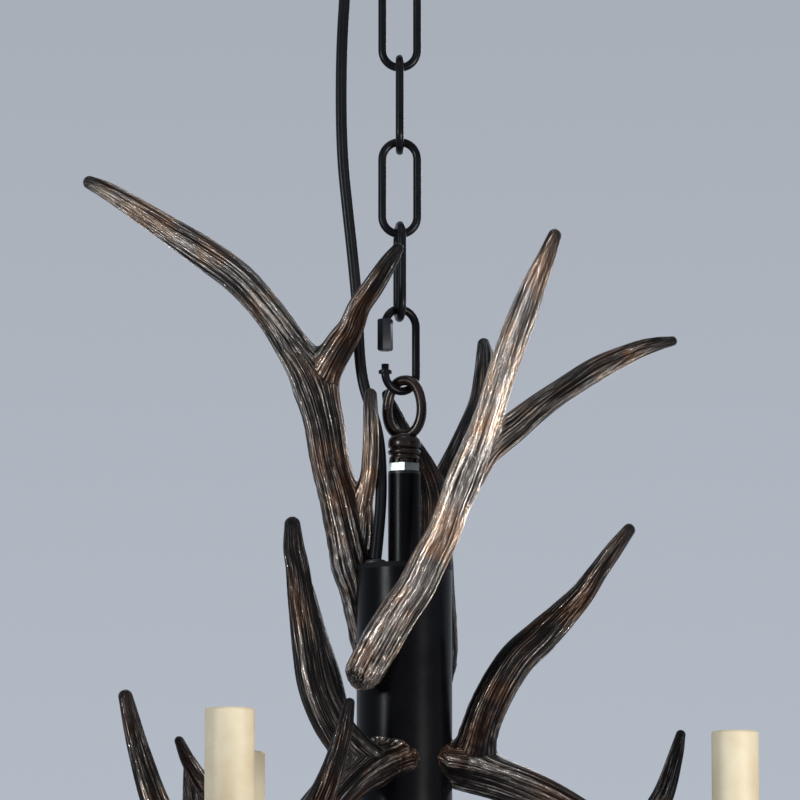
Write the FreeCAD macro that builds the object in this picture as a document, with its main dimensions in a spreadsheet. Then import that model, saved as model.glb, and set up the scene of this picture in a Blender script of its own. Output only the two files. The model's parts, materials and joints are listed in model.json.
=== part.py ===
import FreeCAD, Part
import math
import os
import re

import Sketcher

# An antler chandelier that hangs on a short chain: a ceiling canopy, four oval links and a quick link,
# a black steel column with a round hub, three upper antlers round the column, and three antler arms
# that each carry a drip cup, a lamp holder and a candle sleeve.
#
# Millimetres. The ceiling is the plane Z = 0, the chain hangs down the Z axis, and the front is -Y.
# Depths are counted down from the ceiling, and heights on the fixture up from the column's top end.

SIZES = [
    # alias, value, meaning
    ("canopy_radius", 59, "outer radius of the ceiling canopy"),
    ("canopy_depth", 28, "height of the canopy, ceiling to flat face"),
    ("canopy_rim", 8, "straight part of the canopy's side"),
    ("canopy_flat_radius", 42, "radius of the canopy's flat lower face"),
    ("canopy_wall", 1.2, "thickness of the canopy's sheet"),
    ("bracket_length", 104, "length of the strap under the ceiling"),
    ("bracket_width", 24, "width of the strap"),
    ("bracket_thickness", 2.5, "thickness of the strap"),
    ("slot_spacing", 80, "distance between the strap's two slots"),
    ("slot_width", 5.2, "width of each slot"),
    ("slot_length", 14, "length of each slot, end to end"),
    ("rod_radius", 5, "outside of every hollow threaded rod"),
    ("rod_bore", 3.3, "radius of the wire way through a threaded rod"),
    ("thread_clearance", 0.05, "radial play between a rod and its threaded hole"),
    ("hole_clearance", 0.25, "radial play of a rod or screw in a plain hole"),
    ("thread_grip", 12, "how far a rod reaches into what is screwed on it"),
    ("nut_flats", 17, "across the flats of the lamp nuts"),
    ("thin_nut_height", 4, "height of the nuts in the canopy and hub"),
    ("loop_bar", 6, "thickness of a loop's ring"),
    ("loop_ring_width", 29, "outer width of a loop's ring"),
    ("loop_ring_height", 38, "outer height of a loop's ring"),
    ("loop_height", 49.6, "a whole loop, foot to top of ring"),
    ("loop_cap_height", 15.6, "the turned cap under the ring"),
    ("loop_cap_radius", 9.5, "largest radius of the turned cap"),
    ("link_wire", 4.8, "thickness of a chain link's wire"),
    ("link_width", 25.2, "outer width of a link"),
    ("link_length", 59.3, "outer length of a link"),
    ("link_count", 4, "oval links between the loop and the quick link"),
    ("hang_gap", 0.3, "air between two bars that hang on each other"),
    ("last_link_turn", 8, "how far the lowest link is turned, degrees"),
    ("quick_wire", 4.8, "thickness of the quick link's wire"),
    ("quick_width", 25, "outer width of the quick link"),
    ("quick_length", 53, "outer length of the quick link"),
    ("quick_shift", 0.5, "quick link sideways from the chain's axis"),
    ("quick_turn", 28, "how far the quick link is turned, degrees"),
    ("quick_gate", 8, "height of the quick link's open gate"),
    ("quick_gate_drop", 0.8, "top of the gate below the link's centre"),
    ("quick_collar_drop", 3.6, "top of the stop collar below the gate"),
    ("quick_collar_height", 2.2, "height of the stop collar"),
    ("quick_collar_radius", 3.9, "radius of the stop collar"),
    ("sleeve_nut_height", 18.6, "height of the quick link's sleeve nut"),
    ("sleeve_nut_flats", 8, "across the flats of the sleeve nut"),
    ("sleeve_nut_turn", -17, "how far the sleeve nut is turned, degrees"),
    ("sleeve_nut_overhang", 0.2, "bottom of the sleeve nut below the gate's top, run open"),
    ("sleeve_nut_mouth", 5, "depth of the nut's flared mouth, which clears the link's bend"),
    ("loop_turn", -30, "how far the fixture's loop is turned, degrees"),
    ("loop_ride", 1.0, "rise of the fixture's loop on the quick link, which it crosses at a slant"),
    ("fixture_shift", 2.7, "column axis to the right of the chain axis"),
    ("lock_washer_height", 2.4, "toothed washer under the loop"),
    ("lock_washer_radius", 8.8, "outer radius of the toothed washer"),
    ("column_nut_height", 4.5, "bright hexagon nut on the column"),
    ("column_washer_height", 1.8, "flat washer on the column's end"),
    ("column_washer_radius", 9.4, "outer radius of the flat washer"),
    ("column_radius", 9.5, "outer radius of the column tube"),
    ("column_wall", 1.5, "wall of the column tube"),
    ("column_length", 53, "column tube, washer to hub"),
    ("hub_radius", 27.5, "outer radius of the hub"),
    ("hub_wall", 2.5, "wall of the hub"),
    ("hub_plate", 3, "thickness of the hub's two end plates"),
    ("hub_length", 150, "hub tube between the plates"),
    ("saddle_gap", 0.2, "air between the hub and an antler's seat"),
    ("bowl_radius", 31, "rim radius of the bowl under the hub"),
    ("bowl_depth", 17, "depth of the bowl under the hub"),
    ("bowl_wall", 1.2, "wall of the bowl"),
    ("finial_radius", 11, "ball of the finial"),
    ("finial_height", 27, "finial, seat to lowest point"),
    ("small_screw_radius", 2.5, "screws of the upper antlers"),
    ("small_screw_reach", 7, "how far these screws go into an antler"),
    ("arm_screw_radius", 4, "screws of the arms"),
    ("arm_screw_reach", 28, "how far an arm's screw goes into the arm"),
    ("arm_screw_depth", 172, "the arm screws below the column's top"),
    ("screw_below_root", 6, "an arm's screw below the first station of its beam"),
    ("screw_head_height", 4, "height of every screw head inside the hub"),
    ("arm_turn_right", 0, "direction of the right arm, degrees"),
    ("arm_turn_back", 121, "direction of the back arm, degrees"),
    ("arm_turn_front", 240, "direction of the front arm, degrees"),
    ("lamp_reach", 190, "lamp axis from the column axis"),
    ("lamp_seat_depth", 229, "flat seat of a cup below the column's top"),
    ("seat_above_beam", 9, "flat seat of a cup above the centre line of its beam"),
    ("cup_clearing", 20, "height kept free above the flat seat of a cup"),
    ("cup_foot_radius", 8, "radius of a cup's foot"),
    ("cup_foot_height", 7, "height of a cup's foot"),
    ("cup_radius", 29, "rim radius of a drip cup"),
    ("cup_height", 19, "foot to rim of a drip cup"),
    ("cup_wall", 1.2, "wall of a drip cup"),
    ("cup_floor_radius", 19, "flat floor of a drip cup"),
    ("holder_radius", 11.8, "outer radius of a lamp holder"),
    ("holder_height", 62, "height of a lamp holder"),
    ("lamp_bore_radius", 7.2, "bore that takes the lamp's cap"),
    ("lamp_bore_length", 24, "depth of the bore for the lamp's cap"),
    ("sleeve_clearance", 0.5, "radial play between sleeve and lamp holder"),
    ("sleeve_wall", 1.3, "wall of a candle sleeve"),
    ("sleeve_height", 72, "height of a candle sleeve"),
    ("sleeve_lip", 1.5, "height of the sleeve's inner lip"),
    ("sleeve_rest_gap", 0.2, "air between a sleeve and its cup"),
    ("lamp_rod_length", 30, "threaded rod between arm and lamp holder"),
    ("cord_radius", 3.3, "half the width of the supply cord"),
    ("grip_x", -31.3, "cord grip on the canopy, left of the chain"),
    ("grip_y", -4, "cord grip on the canopy, to the front"),
    ("grip_radius", 7, "body of the cord grip"),
    ("grip_length", 19, "cord grip below the canopy"),
    ("grip_thread_radius", 5, "threaded shank of the cord grip"),
    ("grip_thread_length", 8, "threaded shank inside the canopy"),
    ("grip_nut_flats", 14, "across the flats of the cord grip's nut"),
    ("grommet_x", -16.5, "cord hole in the hub, from the column axis"),
    ("grommet_y", -8.4, "cord hole in the hub, to the front"),
    ("grommet_radius", 6.2, "flange of the hub's grommet"),
    ("grommet_height", 2.5, "flange height of the hub's grommet"),
    ("grommet_neck", 4.6, "neck of the grommet in the hub's plate"),
    ("terminal_length", 20, "length of both terminal blocks"),
    ("terminal_width", 10, "width of both terminal blocks"),
    ("terminal_height", 12, "height of both terminal blocks"),
    ("terminal_offset", 9.5, "near side of a terminal block from the rod's axis"),
]

# Antlers, as stations down the middle of each limb: x, y, height on the fixture, radius.
LEFT_BEAM = [
    (-15, 16, -116, 8.7),
    (-19, 14, -99, 11.1),
    (-25, 11, -70, 11.6),
    (-31, 7, -45, 11.9),
    (-38, 2, -12, 11.6),
    (-43, 0, 8, 11.4),
    (-47, -2, 32, 11.8),
    (-54, -4, 56, 12),
    (-69, -3, 81, 9.9),
    (-81, -1, 98, 9.3),
    (-97, 2, 116, 9.6),
    (-119, 7, 133, 9.2),
    (-145, 13, 151, 7.3),
    (-172, 19, 169, 5.5),
    (-185, 22, 176, 4),
]
LEFT_INNER_TINE = [
    (-52, -3, 50, 9.5),
    (-38, -13, 73, 9),
    (-31, -20, 83, 7.6),
    (-26, -26, 94.5, 6.6),
    (-18.2, -32, 105, 6.2),
    (-9.3, -38, 118, 5.1),
    (-3.8, -41, 126, 3.4),
]
LEFT_BROW_TINE = [
    (-31, 6, -52, 8.8),
    (-26, 3.5, -37, 7.2),
    (-24, 1, -26, 5.9),
    (-23.2, -2.5, -16, 4.9),
    (-20.9, -8, -3, 4.5),
    (-19.6, -9.8, 11, 4.2),
    (-19.4, -10.8, 25, 3.8),
    (-20, -11.5, 40, 3.3),
    (-19.6, -12, 46.5, 2.4),
]
FRONT_BEAM = [
    (-23, -33, -117, 10.8),
    (-14, -34, -101, 11.6),
    (-3, -35, -83, 10.9),
    (6, -36, -70, 10.7),
    (15, -36, -52, 10.4),
    (21.7, -36, -39, 9.8),
    (29.8, -37, -17, 9.2),
    (36.3, -38, -1, 8.9),
    (40.7, -39, 10, 8.4),
    (47.7, -42, 28, 8.1),
    (54, -45, 48, 8.2),
    (61, -48, 69, 8.3),
    (68, -51, 87, 8),
    (75, -54, 105, 6.5),
    (81.2, -56, 119, 5.2),
    (85.8, -58, 130.5, 4),
]
FRONT_OUTER_TINE = [
    (34, -36, -10, 7.6),
    (44.5, -34, 7.5, 8.6),
    (53, -31.5, 16, 8.9),
    (61.8, -29, 23.2, 8.7),
    (75.8, -24, 35.4, 7.8),
    (90, -18.5, 46.1, 7.1),
    (111.3, -9.5, 60.6, 7.1),
    (132.3, -1, 71.8, 5.5),
    (146, 4, 77, 4.3),
    (156, 7.5, 79.5, 3),
]
BACK_BEAM = [
    (17, 34, -114, 11.7),
    (18, 33, -98, 13.1),
    (16, 32, -64, 13.1),
    (14, 31, -36, 12.6),
    (21.5, 40, -9, 10.6),
    (33.2, 58, 20, 8.7),
    (41.3, 78, 41, 7.7),
    (46, 98, 57, 7.1),
    (48.2, 118, 74, 6.6),
    (49, 136, 88.5, 5.6),
    (48.5, 148, 99, 3.9),
]
BACK_INNER_TINE = [
    (14, 31, -47, 11.4),
    (13.5, 30, -23, 11.6),
    (12.5, 28, -5, 11),
    (7, 26, 11, 8.8),
    (-1.5, 24, 28, 6),
    (-7.5, 22, 42, 4.3),
    (-10.5, 20.5, 50, 2.8),
]
# An arm, pointing along +X before it is turned to its own direction. Its root is screwed to the
# hub, and one station of its beam lies under the lamp.
ROOT_STATION = (17, 0, -166, 12.6)
LAMP_STATION = (190, 0, -238, 10.8)
ARM_BEAM = [
    ROOT_STATION,
    (45, 0, -173, 12.5),
    (80, 2, -187, 12),
    (118, 3, -210, 11.4),
    (150, 2, -229, 11),
    LAMP_STATION,
    (223, -2, -233, 9.6),
    (250, -5, -210, 8),
    (267, -8, -178, 6.2),
    (277, -11, -148, 4),
]
ARM_SIDE_TINE = [
    (124, 3, -213, 9.8),
    (138, 22, -203, 8.2),
    (150, 40, -184, 6.6),
    (158, 53, -161, 4.8),
    (162, 59, -146, 3),
]
RIGHT_ARM_BROW_TINE = [
    (38, 0, -168, 11.4),
    (46.8, 0, -138, 10.9),
    (62.5, 0, -110, 10.6),
    (78.5, 0, -94, 9.9),
    (89.8, 0, -83, 8.6),
    (102, 0, -70, 7),
    (111.2, 0, -57, 5.8),
    (120.6, 0, -44, 5.2),
    (129.8, 0, -32, 3.8),
]
LEFT_ARM_BROW_TINE = [
    (44, 0, -170, 11.2),
    (74, -3, -151, 10.6),
    (90.5, -5, -130, 10),
    (99, -4.8, -109, 9.3),
    (109.6, -3.2, -83, 7.7),
    (115.8, -2, -65, 6.8),
    (120.5, -1.7, -54, 6.1),
    (125, 0, -41.5, 4.6),
]
# Heights of the screws that hold an upper antler, two to each.
UPPER_SCREW_HEIGHTS = (-68, -90)

# The supply cord's route, from the grip on the canopy to the grommet on the hub.
CORD_ROUTE = [
    (-31.3, -4, -47.3),
    (-31.8, -4.4, -76),
    (-33.9, -5.4, -110),
    (-34.3, -5.6, -148),
    (-33.3, -5, -180),
    (-30.5, -3.5, -207),
    (-27.3, -1.8, -236),
    (-24.5, -0.6, -265),
    (-23.6, -0.3, -291),
    (-21.6, -0.2, -309),
    (-17.2, -0.8, -323),
    (-11.9, -3, -342),
    (-10.4, -4.6, -367),
    (-11.4, -7, -391),
    (-13.8, -8.4, -413.5),
]

doc = FreeCAD.newDocument("AntlerChandelier")
sheet = doc.addObject("Spreadsheet::Sheet", "Sizes")
for row, (alias, value, meaning) in enumerate(SIZES, start=1):
    sheet.set(f"A{row}", meaning)
    sheet.set(f"B{row}", str(value))
    sheet.setAlias(f"B{row}", alias)
doc.recompute()

ALIASES = {alias for alias, value, meaning in SIZES}
finished = []


def size(alias):
    """A driving dimension as a number."""
    return float(sheet.get(alias))


def cells(expression):
    """The expression with the sheet's name put before each of its aliases."""
    return re.sub(
        r"[a-z][a-z_]*",
        lambda word: f"Sizes.{word[0]}" if word[0] in ALIASES else word[0],
        str(expression),
    )


def bind(thing, **bindings):
    """Tie properties to expressions in the sheet."""
    for name, expression in bindings.items():
        thing.setExpression(name, cells(expression))
    return thing


def place(thing, x=0, y=0, z=0, axis=(0, 0, 1), turn=0):
    """Turn about an axis through the origin, then move, both by expressions."""
    thing.Placement = FreeCAD.Placement(FreeCAD.Vector(), FreeCAD.Rotation(FreeCAD.Vector(*axis), 1))
    thing.setExpression("Placement.Rotation.Angle", cells(turn))
    for letter, expression in zip("xyz", (x, y, z)):
        thing.setExpression(f"Placement.Base.{letter}", cells(expression))
    return thing


def piece(thing, name):
    """Mark an object as a finished piece of the chandelier."""
    thing.Label = name
    finished.append(thing)
    return thing


def cylinder(radius, height, x=0, y=0, z=0, axis=(0, 0, 1), turn=0):
    round_bar = doc.addObject("Part::Cylinder", "Cylinder")
    bind(round_bar, Radius=radius, Height=height)
    return place(round_bar, x, y, z, axis, turn)


def box(length, width, height, x, y, z):
    block = doc.addObject("Part::Box", "Box")
    bind(block, Length=length, Width=width, Height=height)
    return place(block, x, y, z)


def hexagon(flats, height, z=0):
    prism = doc.addObject("Part::Prism", "Hexagon")
    prism.Polygon = 6
    bind(prism, Circumradius=f"({flats}) / sqrt(3)", Height=height)
    return place(prism, z=z, turn=30)


def half_ring(radius, bar_radius, x, z, turn):
    """Half a torus that stands in the XZ plane; turn 0 is the upper half."""
    ring = doc.addObject("Part::Torus", "HalfRing")
    bind(ring, Radius1=radius, Radius2=bar_radius)
    ring.Angle3 = 180
    upright = FreeCAD.Rotation(FreeCAD.Vector(1, 0, 0), 90)
    over = FreeCAD.Rotation(FreeCAD.Vector(0, 1, 0), turn)
    ring.Placement = FreeCAD.Placement(FreeCAD.Vector(), over.multiply(upright))
    ring.setExpression("Placement.Base.x", cells(x))
    ring.setExpression("Placement.Base.z", cells(z))
    return ring


def joined(*things):
    fuse = doc.addObject("Part::MultiFuse", "Joined")
    fuse.Shapes = list(things)
    return fuse


def cut(base, *tools):
    difference = doc.addObject("Part::Cut", "Cut")
    difference.Base = base
    difference.Tool = tools[0] if len(tools) == 1 else joined(*tools)
    return difference


def turned(profile, name="Turned"):
    """A body turned about its Z axis from (radius, height) corners, each tied to the sheet."""
    body = doc.addObject("PartDesign::Body", name)
    sketch = body.newObject("Sketcher::SketchObject", name + "Profile")
    plane = next(f for f in body.Origin.OriginFeatures if f.Role == "XZ_Plane")
    sketch.AttachmentSupport = (plane, [""])
    sketch.MapMode = "FlatFace"
    count = len(profile)
    around = [2 * math.pi * i / count for i in range(count)]
    spots = [FreeCAD.Vector(60 + 20 * math.cos(a), 20 * math.sin(a), 0) for a in around]
    for i in range(count):
        sketch.addGeometry(Part.LineSegment(spots[i], spots[(i + 1) % count]), False)
    for i in range(count):
        sketch.addConstraint(Sketcher.Constraint("Coincident", i, 2, (i + 1) % count, 1))
    for i, (radius, height) in enumerate(profile):
        for kind, axis, expression in (("DistanceX", -2, radius), ("DistanceY", -1, height)):
            if expression == 0:
                sketch.addConstraint(Sketcher.Constraint("PointOnObject", i, 1, axis))
                continue
            number = sketch.addConstraint(Sketcher.Constraint(kind, -1, 1, i, 1, 1.0 + i))
            sketch.setExpression(f"Constraints[{number}]", cells(expression))
    feature = body.newObject("PartDesign::Revolution", name + "Turn")
    feature.Profile = sketch
    feature.ReferenceAxis = (sketch, ["V_Axis"])
    feature.Angle = 360
    sketch.Visibility = False
    body.Tip = feature
    return body


def limb(stations):
    """A solid through round sections along the stations, with a rounded nose after the last one."""
    points = [FreeCAD.Vector(*station[:3]) for station in stations]
    radii = [station[3] for station in stations]
    last = (points[-1] - points[-2]).normalize()
    nose = radii[-1]
    for share in (0.55, 0.88, 0.99):
        points.append(points[len(stations) - 1] + last * (nose * share))
        radii.append(nose * math.sqrt(1 - share * share))
    steady = FreeCAD.Vector(0, 1, 0)
    sections = []
    for i, (point, radius) in enumerate(zip(points, radii)):
        along = points[min(i + 1, len(points) - 1)] - points[max(i - 1, 0)]
        along.normalize()
        side = (steady - along * steady.dot(along)).normalize()
        circle = Part.makeCircle(radius)
        circle.Placement = FreeCAD.Placement(point, FreeCAD.Rotation(side, along.cross(side), along, "ZXY"))
        sections.append(Part.Wire(circle))
    return Part.makeLoft(sections, True, True)


def antler(*limbs):
    """One casting: a beam and its tines, fused."""
    beam = limb(limbs[0])
    return beam.fuse([limb(stations) for stations in limbs[1:]])


def bar(radius, start, end):
    """A plain round bar between two points."""
    along = end - start
    return Part.makeCylinder(radius, along.Length, start, along)


def centre_at(stations, height):
    """The point of a limb's centre line at a height."""
    for low, high in zip(stations, stations[1:]):
        if low[2] <= height <= high[2]:
            share = (height - low[2]) / (high[2] - low[2])
            return FreeCAD.Vector(
                low[0] + share * (high[0] - low[0]), low[1] + share * (high[1] - low[1]), height
            )
    raise ValueError(f"no station reaches height {height}")


# ---- Depths below the ceiling, as expressions ----
LOOP_SEAT = "(canopy_depth + loop_height - loop_bar)"
LINK_PITCH = "(link_length - 2 * link_wire - hang_gap)"
LINK_COUNT = int(size("link_count"))


def link_centre(number):
    return f"({LOOP_SEAT} - hang_gap - link_wire + link_length / 2 + {number - 1} * {LINK_PITCH})"


CHAIN_SEAT = f"({link_centre(LINK_COUNT)} + link_length / 2 - link_wire)"
QUICK_CENTRE = f"({CHAIN_SEAT} - hang_gap - quick_wire + quick_length / 2)"
QUICK_SEAT = f"({QUICK_CENTRE} + quick_length / 2 - quick_wire)"
LOOP_FOOT = f"({QUICK_SEAT} - loop_ride - loop_bar + loop_height)"
NUT_STACK = "(lock_washer_height + column_nut_height + column_washer_height)"
COLUMN_TOP = f"({LOOP_FOOT} + {NUT_STACK})"
HUB_TOP = f"({COLUMN_TOP} + column_length)"
HUB_FLOOR = f"({HUB_TOP} + 2 * hub_plate + hub_length)"


# ---- Ceiling: strap, canopy, threaded rod and nut ----
def make_bracket():
    strap = box(
        "bracket_length", "bracket_width", "bracket_thickness",
        "-bracket_length / 2", "-bracket_width / 2", "-bracket_thickness",
    )
    through = "3 * bracket_thickness"
    below = "-2 * bracket_thickness"
    tools = [cylinder("rod_radius + thread_clearance", through, z=below)]
    for side in ("-1", "1"):
        middle = f"{side} * slot_spacing / 2"
        straight = "slot_length - slot_width"
        tools.append(
            box(straight, "slot_width", through, f"{middle} - ({straight}) / 2", "-slot_width / 2", below)
        )
        for end in ("-1", "1"):
            tools.append(cylinder("slot_width / 2", through, f"{middle} + {end} * ({straight}) / 2", 0, below))
    piece(cut(strap, *tools), "ceiling_bracket")


def make_canopy():
    slope = "canopy_wall * 1.25"
    shell = turned(
        [
            ("canopy_radius", 0),
            ("canopy_radius", "-canopy_rim"),
            ("canopy_flat_radius + (canopy_radius - canopy_flat_radius) * 0.66",
             "-canopy_rim - (canopy_depth - canopy_rim) * 0.66"),
            ("canopy_flat_radius", "-canopy_depth"),
            ("rod_radius + hole_clearance", "-canopy_depth"),
            ("rod_radius + hole_clearance", "-canopy_depth + canopy_wall"),
            ("canopy_flat_radius - canopy_wall / 3", "-canopy_depth + canopy_wall"),
            (f"canopy_flat_radius + (canopy_radius - canopy_flat_radius) * 0.66 - {slope} * 0.75",
             f"-canopy_rim - (canopy_depth - canopy_rim) * 0.66 + {slope} * 0.75"),
            ("canopy_radius - canopy_wall", "-canopy_rim + canopy_wall / 3"),
            ("canopy_radius - canopy_wall", 0),
        ],
        "Canopy",
    )
    cord_hole = cylinder(
        "grip_thread_radius + hole_clearance", "3 * canopy_wall", "grip_x", "grip_y",
        "-canopy_depth - canopy_wall",
    )
    piece(cut(shell, cord_hole), "ceiling_canopy")


def threaded_rod(name, length, x, y, foot):
    rod = cut(cylinder("rod_radius", length), cylinder("rod_bore", f"({length}) + 2", z="-1"))
    piece(place(rod, x, y, foot), name)


def lamp_nut(name, height, x, y, foot):
    nut = cut(hexagon("nut_flats", height), cylinder("rod_radius + thread_clearance", f"2 * {height}",
                                                     z=f"-{height} / 2"))
    piece(place(nut, x, y, foot), name)


def make_loop(name, x, depth, turn, upside_down):
    """A cast ring on a turned cap with a blind threaded hole in its foot."""
    ring_radius = "(loop_ring_width - loop_bar) / 2"
    upper = "loop_height - loop_ring_width / 2"
    lower = "loop_height - loop_ring_height + loop_ring_width / 2"
    ring = [
        half_ring(ring_radius, "loop_bar / 2", 0, upper, 0),
        half_ring(ring_radius, "loop_bar / 2", 0, lower, 180),
    ]
    for side in ("-1", "1"):
        ring.append(cylinder("loop_bar / 2", f"({upper}) - ({lower})", f"{side} * {ring_radius}", 0, lower))
    hole = "rod_radius + thread_clearance"
    cap = turned(
        [
            (hole, 0),
            ("loop_cap_radius - 0.9", 0),
            ("loop_cap_radius - 0.9", 1.7),
            ("loop_cap_radius - 1.8", 1.8),
            ("loop_cap_radius - 1.8", 2.6),
            ("loop_cap_radius", 2.8),
            ("loop_cap_radius", 5.8),
            ("loop_cap_radius - 1.4", 6.0),
            ("loop_cap_radius", 7.0),
            ("loop_cap_radius", "loop_cap_height * 0.72"),
            ("loop_cap_radius * 0.6", "loop_cap_height"),
            (0, "loop_cap_height"),
            (0, "thread_grip + 1"),
            (hole, "thread_grip + 1"),
        ],
        "LoopCap",
    )
    loop = joined(cap, *ring)
    if upside_down:
        spun = FreeCAD.Rotation(FreeCAD.Vector(0, 0, 1), turn)
        loop.Placement.Rotation = spun.multiply(FreeCAD.Rotation(FreeCAD.Vector(1, 0, 0), 180))
        loop.setExpression("Placement.Base.z", cells(f"-{depth}"))
    else:
        place(loop, x, 0, f"-{depth}", turn=turn)
    piece(loop, name)


def make_cord_grip():
    body = turned(
        [
            (0, "-grip_length"),
            ("cord_radius + 1.2", "-grip_length"),
            ("grip_radius - 0.6", "-4.5"),
            ("grip_radius", "-3.5"),
            ("grip_radius + 1", "-2.8"),
            ("grip_radius + 1", 0),
            ("grip_thread_radius", 0),
            ("grip_thread_radius", "grip_thread_length"),
            (0, "grip_thread_length"),
        ],
        "CordGrip",
    )
    piece(place(body, "grip_x", "grip_y", "-canopy_depth"), "cord_grip")
    nut = cut(
        hexagon("grip_nut_flats", "thin_nut_height"),
        cylinder("grip_thread_radius + thread_clearance", "2 * thin_nut_height", z="-thin_nut_height / 2"),
    )
    piece(place(nut, "grip_x", "grip_y", "-canopy_depth + canopy_wall"), "cord_grip_nut")


def make_terminal(name, x, top):
    """A three-pole terminal block that hangs from a face, with a screw pit under each pole."""
    block = box("terminal_width", "terminal_length", "terminal_height", 0, "-terminal_length / 2",
                "-terminal_height")
    pits = [
        cylinder(1.6, 4, "terminal_width / 2", f"{pole} * terminal_length / 3", "-terminal_height - 1")
        for pole in (-1, 0, 1)
    ]
    piece(place(cut(block, *pits), x, 0, top), name)


# ---- Chain ----
def oval(width, length, wire):
    """A closed oval link that stands in the XZ plane about its own centre."""
    arc = f"(({width}) - ({wire})) / 2"
    half = f"(({length}) - ({width})) / 2"
    return [
        half_ring(arc, f"({wire}) / 2", 0, half, 0),
        half_ring(arc, f"({wire}) / 2", 0, f"-({half})", 180),
        cylinder(f"({wire}) / 2", f"2 * ({half})", arc, 0, f"-({half})"),
        cylinder(f"({wire}) / 2", f"2 * ({half})", f"-({arc})", 0, f"-({half})"),
    ]


def make_links():
    for number in range(1, LINK_COUNT + 1):
        link = joined(*oval("link_width", "link_length", "link_wire"))
        turn = "90" if number % 2 == 0 else "0"
        if number == LINK_COUNT:
            turn = f"{turn} + last_link_turn"
        place(link, 0, 0, f"-{link_centre(number)}", turn=turn)
        piece(link, f"chain_link_{number}")


def make_quick_link():
    """The quick link, open: its left leg has a gate, and its sleeve nut is run up above it."""
    upper, lower, right, left = oval("quick_width", "quick_length", "quick_wire")
    leg_top = "(quick_length - quick_width) / 2"
    leg_x = "-(quick_width - quick_wire) / 2"
    bind(left, Height=f"{leg_top} + quick_gate_drop")
    left.setExpression("Placement.Base.z", cells("-quick_gate_drop"))
    gate_foot = "quick_gate_drop + quick_gate"
    stub = cylinder("quick_wire / 2", f"{leg_top} - ({gate_foot})", leg_x, 0, f"-({leg_top})")
    collar = cylinder(
        "quick_collar_radius", "quick_collar_height", leg_x, 0,
        f"-({gate_foot}) - quick_collar_drop - quick_collar_height",
    )
    link = joined(upper, lower, right, left, stub, collar)
    piece(place(link, "quick_shift", 0, f"-{QUICK_CENTRE}", turn="quick_turn"), "quick_link")
    bore = "(quick_wire / 2 + thread_clearance)"
    mouth = doc.addObject("Part::Cone", "Mouth")
    bind(mouth, Radius1=bore, Radius2=f"{bore} + quick_wire / 4", Height="sleeve_nut_mouth")
    nut = cut(
        hexagon("sleeve_nut_flats", "sleeve_nut_height"),
        cylinder(bore, "2 * sleeve_nut_height", z="-sleeve_nut_height / 2"),
        place(mouth, z="sleeve_nut_height - sleeve_nut_mouth"),
    )
    place(
        nut,
        f"quick_shift + ({leg_x}) * cos(quick_turn)",
        f"({leg_x}) * sin(quick_turn)",
        f"-{QUICK_CENTRE} - quick_gate_drop - sleeve_nut_overhang",
        turn="sleeve_nut_turn",
    )
    piece(nut, "quick_link_nut")


# ---- Column and hub ----
def make_lock_washer():
    """A ring with teeth that lean out of its plane, as short blocks round the rim."""
    ring = cut(
        cylinder("lock_washer_radius - 1.6", "lock_washer_height / 2", z="lock_washer_height / 4"),
        cylinder("rod_radius + hole_clearance", "2 * lock_washer_height", z="-lock_washer_height / 2"),
    )
    teeth = []
    tooth_count = 12
    for number in range(tooth_count):
        tooth = box("2.4", "1.8", "lock_washer_height", "lock_washer_radius - 2.4", "-0.9", 0)
        carrier = joined_turn(tooth, f"{number * 360 / tooth_count}")
        teeth.append(carrier)
    washer = joined(ring, *teeth)
    piece(place(washer, "fixture_shift", 0, f"-{LOOP_FOOT} - lock_washer_height"), "lock_washer")


def joined_turn(thing, turn):
    """The same object again, turned about the Z axis."""
    carrier = doc.addObject("Part::Compound", "Turned")
    carrier.Links = [thing]
    return place(carrier, turn=turn)


def make_column():
    nut_foot = f"-{LOOP_FOOT} - lock_washer_height - column_nut_height"
    lamp_nut("column_nut", "column_nut_height", "fixture_shift", 0, nut_foot)
    washer = cut(
        cylinder("column_washer_radius", "column_washer_height"),
        cylinder("rod_radius + hole_clearance", "2 * column_washer_height", z="-column_washer_height / 2"),
    )
    piece(place(washer, "fixture_shift", 0, f"-{COLUMN_TOP}"), "column_washer")
    tube = cut(
        cylinder("column_radius", "column_length"),
        cylinder("column_radius - column_wall", "column_length + 2", z="-1"),
    )
    piece(place(tube, "fixture_shift", 0, f"-{HUB_TOP}"), "column_tube")
    rod_foot = f"{HUB_FLOOR} + bowl_depth + 6"
    threaded_rod(
        "centre_rod", f"{rod_foot} - {LOOP_FOOT} + thread_grip", "fixture_shift", 0, f"-({rod_foot})"
    )


def radial(radius, length, start, direction, depth):
    """A bar that lies along a direction from the column's axis, at a depth below the column's top."""
    cosine, sine = math.cos(math.radians(direction)), math.sin(math.radians(direction))
    lying = FreeCAD.Rotation(FreeCAD.Vector(0, 0, 1), FreeCAD.Vector(cosine, sine, 0))
    rod = doc.addObject("Part::Cylinder", "Radial")
    bind(rod, Radius=radius, Height=length)
    rod.Placement = FreeCAD.Placement(FreeCAD.Vector(), lying)
    rod.setExpression("Placement.Base.x", cells(f"({start}) * {cosine:.9f}"))
    rod.setExpression("Placement.Base.y", cells(f"({start}) * {sine:.9f}"))
    rod.setExpression("Placement.Base.z", cells(f"-({depth})"))
    return rod


def upper_screw_spots():
    """(direction, depth below the column's top) of the two screws of each upper antler."""
    spots = []
    for beam in (LEFT_BEAM, FRONT_BEAM, BACK_BEAM):
        for height in UPPER_SCREW_HEIGHTS:
            centre = centre_at(beam, height)
            spots.append((math.degrees(math.atan2(centre.y, centre.x)), -height))
    return spots


def arm_turns():
    return [size("arm_turn_right"), size("arm_turn_back"), size("arm_turn_front")]


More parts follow.
